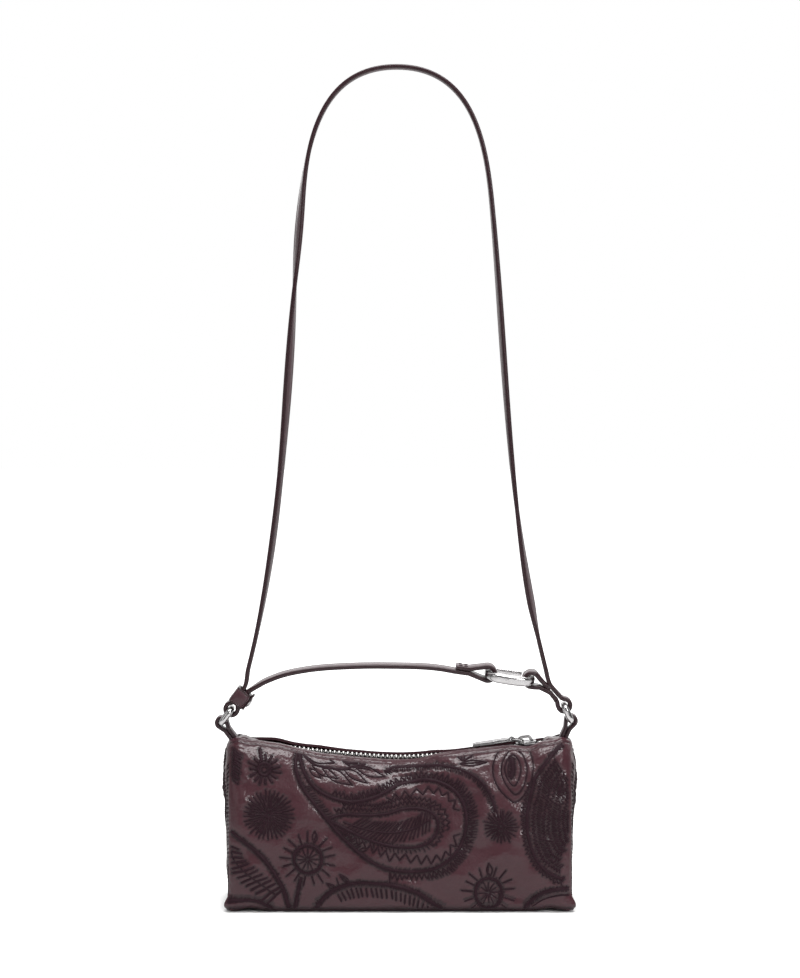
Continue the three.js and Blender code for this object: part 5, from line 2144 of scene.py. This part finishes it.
    def build_pull(self) -> Piece:
        """A bare plate with a shallow framed field and a knuckle round the link's bar.

        Returns:
            The piece.
        """
        bore, wall = self.link_wire / 2 + 0.3, 0.7
        outer = bore + wall
        length = self.pull_length - outer - self.pull_shoulder
        plate = block("pull_plate", (length, self.pull_width, self.pull_thickness),
            (-self.pull_shoulder - length / 2, 0, 0))
        shape_faces(plate, lambda normal: abs(normal.z) > 0.5,
            lambda: bpy.ops.mesh.inset(thickness=1.0, depth=0.0, use_individual=True),
            lambda: bpy.ops.mesh.inset(thickness=0.3, depth=-0.22, use_individual=True))
        half = (self.link_width - self.link_wire) / 2 - 0.3
        neck = block("pull_neck", (2.2, 2 * half, self.pull_thickness * 0.9),
            (-self.pull_shoulder - 0.2, 0, 0))
        turn = np.linspace(0, 2 * pi, 25)[:-1]
        barrel = swept("pull_barrel",
            [Run(np.stack([np.cos(turn), np.sin(turn)], axis=1) * (bore + wall / 2), closed=True)],
            rounded_section(wall, 2 * half, 0.2, 2))
        barrel.data.transform(STAND_UP)
        body = joined("pull_body", [plate, neck])
        bevelled(body, 0.35, 3, angle_limit=radians(50))
        obj = joined("pull_tab_metal", [body, barrel])
        return smooth_shaded(scaled_to_metres(obj, tilted(self.pull_pivot, self.pull_tilt)))


# Straps, rings and fittings


def rounded_section(thickness: float, width: float, corner: float, steps: int = 4,
        groove: float = 0.0, groove_at: float = 0.0) -> Array:
    """Outline with round corners, of a strap's or bar's section or a ring's middle line.

    Args:
        thickness: Size across the line.
        width: Size upwards.
        corner: Radius of the corners.
        steps: Points in each corner.
        groove: Depth of a creased line near each edge of both faces.
        groove_at: Distance of that line from the edge.

    Returns:
        The closed outline's points.
    """
    half_x, half_y = thickness / 2 - corner, width / 2 - corner
    quarter = np.linspace(0, pi / 2, steps + 1)
    points: list[tuple[float, float]] = []
    for turn, (sx, sy) in enumerate(((1, 1), (-1, 1), (-1, -1), (1, -1))):
        for angle in quarter + turn * pi / 2:
            points.append((sx * half_x + corner * math.cos(angle),
                sy * half_y + corner * math.sin(angle)))
        if groove and turn in (1, 3):
            face = sx * thickness / 2
            line = width / 2 - groove_at
            for y, depth in ((line + 0.35, 0), (line, groove), (line - 0.35, 0), (0, 0),
                    (0.35 - line, 0), (-line, groove), (-line - 0.35, 0)):
                points.append((face - sx * depth, sy * y))
    return np.array(points)


@dataclass(frozen=True)
class Turn:
    """A strap that turns round a bar and closes on itself at its throat, in X and Z."""

    bar: Array
    axis: Array
    inner: float
    thickness: float
    throat: float
    gap: float = 0.3

    @property
    def half(self) -> float:
        """Distance of each layer's middle from the axis."""
        return (self.thickness + self.gap) / 2

    def at(self, along: float, across: float) -> Array:
        """A point along the axis, to its left by a distance."""
        side = np.array([-self.axis[1], self.axis[0]])
        return self.bar + self.axis * along + side * across

    def line(self) -> Array:
        """Points from the left layer's throat round the bar to the right layer's.

        Returns:
            The points, one row each.
        """
        radius = self.inner + self.thickness / 2
        first = (math.atan2(self.half, self.throat)
            + math.acos(radius / math.hypot(self.throat, self.half)))
        turn = np.linspace(first, 2 * pi - first, 29)
        round_bar = [self.at(radius * math.cos(a), radius * math.sin(a)) for a in turn]
        return np.array([self.at(self.throat, self.half), *round_bar,
            self.at(self.throat, -self.half)])


@dataclass
class Straps:
    """Corner tabs, rings, shoulder strap, handle, connector, keeper and rivet."""

    width: float = 9.0
    thickness: float = 2.5
    tab_thickness: float = 2.2
    tab_length: float = 10.0
    tab_throat: float = 5.0
    tab_sunk: float = 4.2
    corner_z: float = 99.2
    ring_wire: float = 3.0
    ring_swell: float = 0.34
    ring_spacing: float = 10.0
    ring_clearance: float = 0.75
    ring_corner: float = 3.2
    ring_play: float = 0.9
    left_foot: float = -98.8
    right_foot: float = 96.4
    left_lean: float = -37.0
    right_lean: float = 24.0
    left_ring_lean: float = 36.0
    right_ring_lean: float = -24.0
    left_bundle: float = 37.0
    right_bundle: float = -42.0
    right_gap: float = 0.9
    right_bundle_length: float = 12.2
    connector_lean: float = -60.0
    throat: float = 4.1
    keeper_start: float = 4.4
    keeper_length: float = 9.0
    keeper_wall: float = 1.8
    strap_lean: float = 14.5
    strap_fold_above: float = 23.8
    left_drift: float = 2.9
    right_drift: float = 4.0
    crown_x: float = -2.0
    crown_z: float = 490.05
    shoulder_spread: float = 55.5
    shoulder_fall: float = 79.0
    shoulder_lean: float = 5.5
    handle_angle: float = 32.0
    handle_fold_from_keeper: float = 5.7
    handle_flap: float = 8.0
    handle_throat: float = 11.0
    handle_loop_lean: float = 8.0
    handle_roll: float = 6.0
    clip_from_fold: float = 5.0
    clip_above_fold: float = 4.7
    clip_tilt: float = 8.4
    clip_length: float = 29.6
    clip_band: float = 3.6
    clip_height: float = 4.0
    connector_throat: float = 6.6

    def __post_init__(self) -> None:
        """Works out where rings, loops and folds lie."""
        up = self.corner_z
        self.left_low = np.array([self.left_foot, up]) + leaning(self.left_lean) * self.tab_length
        self.right_low = (np.array([self.right_foot, up])
            + leaning(self.right_lean) * self.tab_length)
        self.left_high = self.left_low + leaning(self.left_ring_lean) * self.ring_spacing
        right_high = self.right_low + leaning(self.right_ring_lean) * self.ring_spacing
        inner = self.ring_wire / 2 + self.ring_play
        self.left_turn = Turn(self.left_high, leaning(self.left_bundle), inner, self.thickness,
            self.throat)
        self.right_turn = Turn(right_high, leaning(self.right_bundle), inner, self.thickness,
            self.throat, self.right_gap)
        self.keeper_end = self.keeper_start + self.keeper_length
        mouth = self.left_turn.at(self.keeper_end, -self.left_turn.half)
        angle = radians(self.handle_angle)
        handle_way = np.array([math.cos(angle), math.sin(angle)])
        self.handle_fold = mouth + handle_way * self.handle_fold_from_keeper
        way = leaning(self.connector_lean)
        end = self.right_turn.at(self.right_bundle_length, self.right_turn.half)
        self.connector_fold = end + way * ((self.handle_fold[1] - end[1]) / way[1])
        self.strap_fold_z = self.left_high[1] + self.strap_fold_above
        bars = self.clip_length - self.clip_band
        tilt = radians(self.clip_tilt)
        self.clip_right = self.connector_fold + (-self.clip_from_fold, self.clip_above_fold)
        self.clip_left = self.clip_right - np.array([math.cos(tilt), -math.sin(tilt)]) * bars
        self.clip_inner = math.hypot(self.clip_band, self.clip_height) / 2 + 0.3

    def section(self, thickness: float | None = None) -> Array:
        """The strap's section, with a creased line near both edges."""
        return rounded_section(thickness or self.thickness, self.width, 0.85, 4, 0.16, 1.5)

    def ink(self, obj: Piece, start: float, end: float) -> None:
        """Marks a strap's inked edges, from where the ink starts to where it is full."""
        paint(obj, "edge", smoothstep(start, end, np.abs(coords(obj)[:, 2])))

    def strap_piece(self, name: str, line: Array, section: Array,
            tilts: Array | None = None) -> Piece:
        """A strap swept along a line in X and Z, in millimetres, with its edges marked.

        Args:
            name: Name of the piece.
            line: The strap's middle line.
            section: Outline of the strap.
            tilts: Twist at each point, in radians.

        Returns:
            The piece.
        """
        obj = swept(name, [Run(line, tilts=tilts)], section)
        self.ink(obj, self.width / 2 - 0.95, self.width / 2 - 0.35)
        obj.data.transform(STAND_UP)
        return smooth_shaded(obj, 50)

    def roll(self, obj: Piece, start: float, end: float) -> None:
        """Rolls a piece a little to the front about the handle's fold line.

        Args:
            obj: The piece, in millimetres.
            start: X where the roll begins.
            end: X from where it is full.
        """
        points = coords(obj)
        low, high = min(start, end), max(start, end)
        share = smoothstep(low, high, points[:, 0])
        angle = radians(self.handle_roll) * (share if start < end else 1 - share)
        y, z = points[:, 1], points[:, 2] - self.handle_fold[1]
        points[:, 1] = y * np.cos(angle) - z * np.sin(angle)
        points[:, 2] = y * np.sin(angle) + z * np.cos(angle) + self.handle_fold[1]
        move_points(obj, points)

    def build(self) -> None:
        """Makes all of the straps and their metal."""
        self.build_corner("left", self.left_lean, self.left_low, self.left_ring_lean)
        self.build_corner("right", self.right_lean, self.right_low, self.right_ring_lean)
        self.build_shoulder_strap()
        self.build_handle()
        self.build_connector()
        self.build_keeper()

    def build_corner(self, name: str, lean: float, low: Array, ring_lean: float) -> None:
        """Makes one corner's tab, sewn into the body, and its ring.

        Args:
            name: The side in words.
            lean: Lean of the tab, in degrees.
            low: Place of the ring's lower bar.
            ring_lean: Lean of the ring, in degrees.
        """
        turn = Turn(low, -leaning(lean), self.ring_wire / 2 + 0.3, self.tab_thickness,
            self.tab_throat)
        reach = self.tab_length + self.tab_sunk
        line = np.vstack([turn.at(reach, turn.half), turn.line(), turn.at(reach, -turn.half)])
        tab = self.strap_piece(f"{name}_tab_leather", resample(line, 0.6),
            self.section(self.tab_thickness))
        scaled_to_metres(tab)
        dress(tab, STRAP, None, f"{name}_tab")
        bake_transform(tab)
        across = self.width + 2 * self.ring_clearance + self.ring_wire
        route = rounded_section(self.ring_spacing, across, self.ring_corner, 8)
        route = resample(np.vstack([route, route[:1]]), 0.5)[:-1]
        stout = 1 + self.ring_swell * smoothstep(0.6, 0.97, 2 * np.abs(route[:, 1]) / across)
        ring = swept(f"{name}_ring_wire", [Run(route, stout, closed=True)],
            radius=self.ring_wire / 2, roundness=5)
        ring.data.transform(Matrix.Rotation(-pi / 2, 4, "Y")
            @ Matrix.Translation((self.ring_spacing / 2, 0, 0)))
        dress(smooth_shaded(scaled_to_metres(ring, tilted(low, ring_lean)), 70), SILVER,
            f"{name}_ring", f"{name}_ring")

    def build_shoulder_strap(self) -> None:
        """One strap: round the left ring, up over the shoulder and down round the right ring."""
        left, right = self.left_turn, self.right_turn
        up_left, up_right = leaning(self.strap_lean), leaning(-self.strap_lean)
        mouth = left.at(self.keeper_end, left.half)
        leave = right.at(self.right_bundle_length, -right.half)
        start = np.array([mouth[0] + self.left_drift, self.strap_fold_z])
        finish = np.array([leave[0] - self.right_drift, self.strap_fold_z])
        top = np.array([self.crown_x, self.crown_z])

        def half(fold: Array, up: Array, side: int) -> Array:
            """A leg and its half of the crown, from the fold to the top.

            Args:
                fold: Where the leg starts.
                up: Its direction there.
                side: -1 at the left, 1 at the right.

            Returns:
                The points, one row each.
            """
            shoulder = np.array([self.crown_x + side * self.shoulder_spread,
                top[1] - self.shoulder_fall])
            lean = leaning(-side * self.shoulder_lean)
            leg = bend(fold, up, shoulder, lean, (shoulder[1] - fold[1]) / 3, 60)
            crown = bezier(shoulder, shoulder + lean * self.shoulder_fall * 0.45,
                np.array([self.crown_x + side * self.shoulder_spread * 0.8, top[1]]), top, 40)
            return np.vstack([leg, crown[1:]])

        foot_left = bend(mouth, leaning(self.left_bundle), start, up_left, 4.0, 8)
        foot_right = bend(leave, leaning(self.right_bundle), finish, up_right, 4.0, 8)
        line = np.vstack([left.at(self.keeper_start + 0.62 * self.keeper_length, -left.half),
            left.line()[::-1], foot_left, half(start, up_left, -1)[1:],
            half(finish, up_right, 1)[::-1][1:], foot_right[::-1][1:], right.line()[::-1],
            right.at(self.throat + 2.0, right.half)])
        line = resample(line, 1.0)
        legs = smoothstep(150, 180, line[:, 1]) * (1 - smoothstep(440, 485, line[:, 1]))
        z = line[:, 1]
        left_tilt = 24 * hump(z, 395, 32) - 20 * hump(z, 310, 50) - 10 * hump(z, 215, 40)
        right_tilt = 20 * hump(z, 180, 40) - 10 * hump(z, 330, 70)
        tilts = np.radians(np.where(line[:, 0] < self.crown_x, left_tilt, right_tilt)) * legs
        obj = self.strap_piece("shoulder_strap", line, self.section(), tilts)
        scaled_to_metres(obj)
        dress(obj, STRAP, None, "strap_left_loop", "strap_right_loop", "long_strap")
        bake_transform(obj)

    def build_handle(self) -> None:
        """The short handle, which ends in a loop round the clip ring and a sewn-down flap."""
        left = self.left_turn
        angle = radians(self.handle_loop_lean)
        back = np.array([-math.cos(angle), math.sin(angle)])
        loop = Turn(self.clip_left, back, self.clip_inner, self.thickness, self.handle_throat)
        end = loop.at(self.handle_throat + self.handle_flap, loop.half)
        flap = loop.at(self.handle_throat + self.handle_flap, -loop.half)
        arch = flowing([self.handle_fold, (-78.0, 132.1), (-65.7, 136.5), (-47.3, 139.6),
            (-24.2, 140.9), (-6.0, 141.0), (11.8, 140.6), (23.0, 139.6), end], 1.5)
        line = np.vstack([left.at(self.keeper_start + 0.55 * self.keeper_length, -left.half),
            left.at(self.keeper_end - 0.5, -left.half), arch, loop.line(), flap])
        obj = self.strap_piece("handle_leather", resample(line, 0.9), self.section())
        stitches = []
        for along in (self.handle_throat + 2.2, self.handle_throat + 5.4):
            for across in (-2.4, 2.4):
                spot = loop.at(along, -loop.half - self.thickness / 2)
                stitches.append(self.stitch(spot, back, across))
        thread = joined("handle_stitches", stitches)
        for piece in (obj, thread):
            self.roll(piece, self.handle_fold[0] - 4, self.handle_fold[0] + 5)
            scaled_to_metres(piece)
        dress(obj, STRAP, None, "handle_strap")
        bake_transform(obj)
        dress(smooth_shaded(thread, 70), THREAD, "handle")

    def stitch(self, spot: Array, way: Array, across: float) -> Piece:
        """A raised stitch of thick thread, 2.2 mm long, lying on a strap's face.

        Args:
            spot: Its middle in X and Z.
            way: Its direction.
            across: Its place in Y.

        Returns:
            The piece.
        """
        line = np.array([spot - way * 1.1, spot - way * 0.5, spot + way * 0.5, spot + way * 1.1])
        piece = swept("stitch", [Run(line, np.array([0.25, 0.42, 0.42, 0.25]))])
        piece.data.transform(Matrix.Translation((0, across, 0)) @ STAND_UP)
        return piece

    def build_connector(self) -> None:
        """The short strap from the right ring's loop round the clip ring."""
        right = self.right_turn
        beside = right.half - 0.35
        joint = right.at(self.right_bundle_length - 1.0, beside)
        tucked = right.at(self.right_bundle_length + 0.4, -0.2)
        down = (joint + tucked) / 2 - self.clip_right
        loop = Turn(self.clip_right, down / norm(down), self.clip_inner, self.thickness,
            self.connector_throat)
        tail = flowing([loop.at(loop.throat, -loop.half), joint,
            right.at(self.right_bundle_length - 3.5, beside),
            right.at(self.throat + 1.0, beside)], 0.8)
        slack = flowing([tucked, loop.at(loop.throat, loop.half + 0.7), *loop.line()[4:8]], 0.8)
        line = np.vstack([slack, loop.line()[8:-1], tail])
        obj = self.strap_piece("connector_leather", resample(line, 0.8),
            self.section(self.thickness - 0.06))
        self.roll(obj, self.connector_fold[0] + 4, self.connector_fold[0] - 4)
        scaled_to_metres(obj)
        dress(obj, STRAP, None, "connector_loop")
        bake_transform(obj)

    def build_keeper(self) -> None:
        """A leather band round the two strap layers at the left, and its domed rivet."""
        inner_x = self.thickness + 0.45
        inner_y = self.width / 2 + 0.3
        lean = tilted(self.left_high, self.left_bundle)
        route = rounded_section(2 * inner_x + self.keeper_wall, 2 * inner_y + self.keeper_wall,
            1.6, 5)
        band = swept("keeper_leather", [Run(route, closed=True)],
            rounded_section(self.keeper_wall, self.keeper_length + 1.0, 0.6, 3, 0.22, 1.3))
        self.ink(band, self.keeper_length / 2 - 0.8, self.keeper_length / 2 - 0.3)
        middle = self.keeper_start + self.keeper_length / 2
        band.data.transform(Matrix.Translation((0, 0, middle - 0.5)))
        scaled_to_metres(band, lean)
        face = inner_x + self.keeper_wall
        flap_line = flowing([(face + 0.5, self.keeper_start - 0.6), (face + 0.6, middle),
            (face + 0.7, self.keeper_end), (face + 1.1, self.keeper_end + 0.9)], 0.6)
        flap = swept("keeper_flap_leather", [Run(flap_line)],
            rounded_section(1.2, self.width - 0.6, 0.45, 3))
        self.ink(flap, self.width / 2 - 1.2, self.width / 2 - 0.5)
        flap.data.transform(STAND_UP)
        scaled_to_metres(flap, lean)
        keeper = joined("keeper_leather", [band, flap])
        dress(smooth_shaded(keeper, 50), STRAP, "strap_base", "strap_keeper")

        cap = primitive("uv_sphere", "keeper_rivet_dome", segments=36, ring_count=20, radius=1.0)
        points = coords(cap)
        out = norm(points[:, :2], axis=1)
        dome = np.where(points[:, 2] > 0, points[:, 2] ** 0.9 * 1.35, points[:, 2] * 0.15)
        ring = 0.18 * hump(out, 0.72, 0.08) * (points[:, 2] > 0)
        move_points(cap, np.column_stack([points[:, :2] * 3.3, dome - ring]))
        cap.data.transform(Matrix.Translation((face + 1.15, 0, middle))
            @ Matrix.Rotation(pi / 2, 4, "Y"))
        dress(smooth_shaded(scaled_to_metres(cap, lean), 60), SILVER, "strap_base",
            "keeper_rivet_cap")
        wear(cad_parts["keeper_rivet_post"], SILVER)


@dataclass
class ClipRing:
    """The oval clip ring on the handle, with its gate, hinge pin and spring."""

    straps: Straps
    width: float = 21.0
    corner: float = 7.0
    bow: float = 2.8
    swell: float = 0.36
    gate_start: float = -8.2
    gate_end: float = 7.4
    tongue_reach: float = 2.6
    pin_radius: float = 0.6

    def seat(self) -> Matrix:
        """Place of the ring's middle, with X along it and its gate to the back.

        Returns:
            The place.
        """
        middle = (self.straps.clip_left + self.straps.clip_right) / 2
        fold = self.straps.handle_fold[1]
        return (Matrix.Translation((0, 0, fold))
            @ Matrix.Rotation(radians(self.straps.handle_roll), 4, "X")
            @ Matrix.Translation((middle[0], 0, middle[1] - fold))
            @ Matrix.Rotation(radians(self.straps.clip_tilt), 4, "Y"))

    def build(self) -> None:
        """Makes the ring, its gate and the small parts of the gate."""
        band, height = self.straps.clip_band, self.straps.clip_height
        length = self.straps.clip_length
        outline = rounded_section(length - band, self.width - band, self.corner - band / 2, 10)
        route = resample(np.vstack([outline] * 2), 0.5)
        bow = self.bow * np.clip(1 - (route[:, 0] / ((length - band) / 2)) ** 2, 0, 1)
        route[:, 1] -= np.where(route[:, 1] < 0, bow, 0.0)
        back = (self.width - band) / 2
        on_gate = route[:, 1] > back - 0.05
        open_at = (on_gate & (route[:, 0] > self.gate_start - 0.3)
            & (route[:, 0] < self.gate_end + 0.3))
        gaps = np.flatnonzero(open_at)
        first = gaps[np.flatnonzero(np.diff(gaps) > 1)[0]] + 1
        last = gaps[gaps > first][0]
        section = rounded_section(band, height, 1.15, 5)
        stout = 1 + self.swell * smoothstep(0.1, 0.7, bow / self.bow) * (route[:, 1] < 0)
        ring = swept("clip_ring_metal", [Run(route[first:last], stout[first:last])], section)
        fork = block("gate_fork", (3.4, 7.0, 1.9), (self.gate_start - 1.6, back, 0))
        applied(ring, "BOOLEAN", operation="DIFFERENCE", object=fork, solver="EXACT")
        bpy.data.objects.remove(fork)
        dress(smooth_shaded(scaled_to_metres(ring, self.seat()), 50), SILVER, "handle", "clip_ring")

        along = np.linspace(self.gate_start + 0.9, self.gate_end + 0.2, 12)
        gate_line = np.array([(x, back) for x in along])
        bar = swept("gate_bar", [Run(gate_line)], rounded_section(band - 0.3, height - 0.3, 1.0, 5))
        pin_x = self.gate_start - self.tongue_reach / 2
        tongue = block("gate_tongue", (self.tongue_reach + 1.0, 2.2, 1.4),
            (pin_x + 0.4, back, 0))
        bevelled(tongue, 0.3, 2)
        thumb = block("gate_thumb", (3.4, 0.9, 2.2),
            (self.gate_end - 3.2, back + band / 2 - 0.3, 0))
        bevelled(thumb, 0.35, 3)
        gate = joined("clip_gate_metal", [bar, tongue, thumb])
        dress(smooth_shaded(scaled_to_metres(gate, self.seat()), 50), SILVER, "gate", "clip_gate")

        pin = primitive("cylinder", "clip_gate_hinge_pin", vertices=20, radius=self.pin_radius,
            depth=height + 0.5, location=(0, 0, 0))
        pin.data.transform(Matrix.Translation((pin_x, back, 0)))
        bevelled(pin, 0.18, 2)
        dress(smooth_shaded(scaled_to_metres(pin, self.seat()), 50), SILVER, "handle",
            "clip_gate_pin")
        wear(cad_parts["clip_gate_spring"], SPRING_STEEL)


# Studio


@dataclass
class Studio:
    """Camera, pale floor, soft lights and the surrounding white."""

    camera_place: tuple[float, float, float] = (0.0, -1.5, 0.32)
    camera_pitch: float = 2.881
    image_height_px: float = 978.0
    focal_px: float = 2564.1
    floor_size: float = 12.0
    floor_glow: float = 0.48
    floor_gloss: float = 0.0
    # Half sizes of the box round the bag's base where the floor's glow is taken away, a painted
    # contact shadow.
    painted_shadow_box: tuple[float, float, float] = (0.099, 0.0245, 1.0)
    world_light: float = 0.35
    room_gloss: float = 0.05

    def build(self) -> None:
        """Makes the camera, the floor, the lamps and the world."""
        self.build_camera()
        self.build_floor()
        self.build_world()
        self.lamp("overhead_softbox", (0.1, -0.3, 1.3), (0.0, 0.0, 0.08), (0.9, 0.5), 18.0)
        self.lamp("left_softbox", (-1.25, -0.8, 0.75), (0.0, 0.0, 0.1), (0.8, 1.1), 2.8)
        self.lamp("right_softbox", (0.85, -1.25, 0.8), (0.0, 0.0, 0.1), (0.35, 0.45), 8.5)
        self.lamp("back_softbox", (0.0, 1.35, 0.85), (0.0, 0.0, 0.12), (1.9, 0.7), 7.0)
        self.lamp("camera_fill", (0.0, -1.9, 1.1), (0.0, 0.0, 0.15), (1.8, 0.9), 1.2)

    def build_camera(self) -> None:
        """A camera at the photograph's height, tilt and angle of view."""
        data = bpy.data.cameras.new("camera")
        data.sensor_fit = "VERTICAL"
        data.sensor_height = 24.0
        data.lens = data.sensor_height * self.focal_px / self.image_height_px
        data.clip_end = 50.0
        camera = bpy.data.objects.new("camera", data)
        camera.location = self.camera_place
        camera.rotation_euler = (radians(90 - self.camera_pitch), 0, 0)
        bpy.context.scene.collection.objects.link(camera)
        bpy.context.scene.camera = camera

    def build_floor(self) -> None:
        """A pale matt floor that reads as white where no shadow falls on it, with a painted contact
        shadow where its glow fades out round the bag's base.
        """
        floor = primitive("plane", "floor", size=self.floor_size, location=(0, 0, -0.0004))
        material = bpy.data.materials.new("pale_matt_floor")
        tree = fresh_tree(material)
        path = add(tree, "LightPath")
        seen = add(tree, "Math", {0: path.outputs["Is Glossy Ray"], 1: self.floor_gloss,
            2: path.outputs["Is Camera Ray"]}, operation="MULTIPLY_ADD")
        place = add(tree, "TexCoord").outputs["Object"]
        away = add(tree, "VectorMath", {0: place}, operation="LENGTH")
        white = add(tree, "MapRange", {"Value": away.outputs["Value"], "From Min": 0.3,
            "From Max": 1.3, "To Min": self.floor_glow, "To Max": 1.0},
            interpolation_type="SMOOTHSTEP")
        # Painted contact shadow: the floor's glow fades to nothing within 9 mm of a box round the
        # bag's base.
        size = add(tree, "VectorMath", {0: place}, operation="ABSOLUTE")
        beyond = add(tree, "VectorMath", {0: size, 1: self.painted_shadow_box}, operation="SUBTRACT")
        outside = add(tree, "VectorMath", {0: beyond, 1: (0, 0, 0)}, operation="MAXIMUM")
        gap = add(tree, "VectorMath", {0: outside}, operation="LENGTH")
        painted_contact_shadow = add(tree, "MapRange", {"Value": gap.outputs["Value"], "From Min": 0.0,
            "From Max": 0.009}, interpolation_type="SMOOTHSTEP")
        near = add(tree, "Math", {0: white, 1: painted_contact_shadow}, operation="MULTIPLY")
        glow = add(tree, "Math", {0: seen, 1: near}, operation="MULTIPLY")
        light = add(tree, "Emission", {"Color": (1, 1, 1, 1), "Strength": glow})
        matt = add(tree, "BsdfDiffuse", {"Color": linear("e6e6e6")})
        both = add(tree, "AddShader", {0: light, 1: matt})
        add(tree, "OutputMaterial", {"Surface": both})
        floor.data.materials.append(material)

    def build_world(self) -> None:
        """White to look at, softer as a light, and darker to gloss on the camera's side."""
        world = bpy.data.worlds.new("studio_white")
        bpy.context.scene.world = world
        tree = fresh_tree(world)
        path = add(tree, "LightPath")
        way = add(tree, "SeparateXYZ", {0: add(tree, "TexCoord").outputs["Generated"]})
        room = add(tree, "MapRange", {"Value": way.outputs["Y"], "From Min": 0.0, "From Max": 0.8,
            "To Min": self.room_gloss, "To Max": 0.9})
        gloss = add(tree, "Mix", {0: path.outputs["Is Glossy Ray"], 2: self.world_light, 3: room})
        seen = add(tree, "Math",
            {0: path.outputs["Is Camera Ray"], 1: path.outputs["Is Transmission Ray"]},
            operation="MAXIMUM")
        strength = add(tree, "Mix", {0: seen, 2: gloss, 3: 1.0})
        sky = add(tree, "Background", {"Color": (1, 1, 1, 1), "Strength": strength})
        add(tree, "OutputWorld", {"Surface": sky})

    def lamp(self, name: str, place: Spot, aim: Spot, size: Spot, power: float) -> None:
        """Adds a soft rectangular lamp that looks at a point.

        Args:
            name: Name of the lamp.
            place: Where it hangs.
            aim: The point.
            size: Its two sides.
            power: Watts.
        """
        data = bpy.data.lights.new(name, "AREA")
        data.shape = "RECTANGLE"
        data.size, data.size_y = size
        data.energy = power
        lamp = bpy.data.objects.new(name, data)
        lamp.location = place
        lamp.visible_camera = False
        way = Vector(aim) - Vector(place)
        lamp.rotation_euler = way.to_track_quat("-Z", "Y").to_euler()
        bpy.context.scene.collection.objects.link(lamp)


def main() -> None:
    """Builds the studio and the bag's sub-assemblies in order."""
    logging.basicConfig(level=logging.INFO, format="%(message)s")
    bpy.context.scene.view_settings.view_transform = "Standard"
    Studio().build()
    Body().build()
    Zip().build()
    straps = Straps()
    straps.build()
    ClipRing(straps).build()


if __name__ == "__main__":
    main()
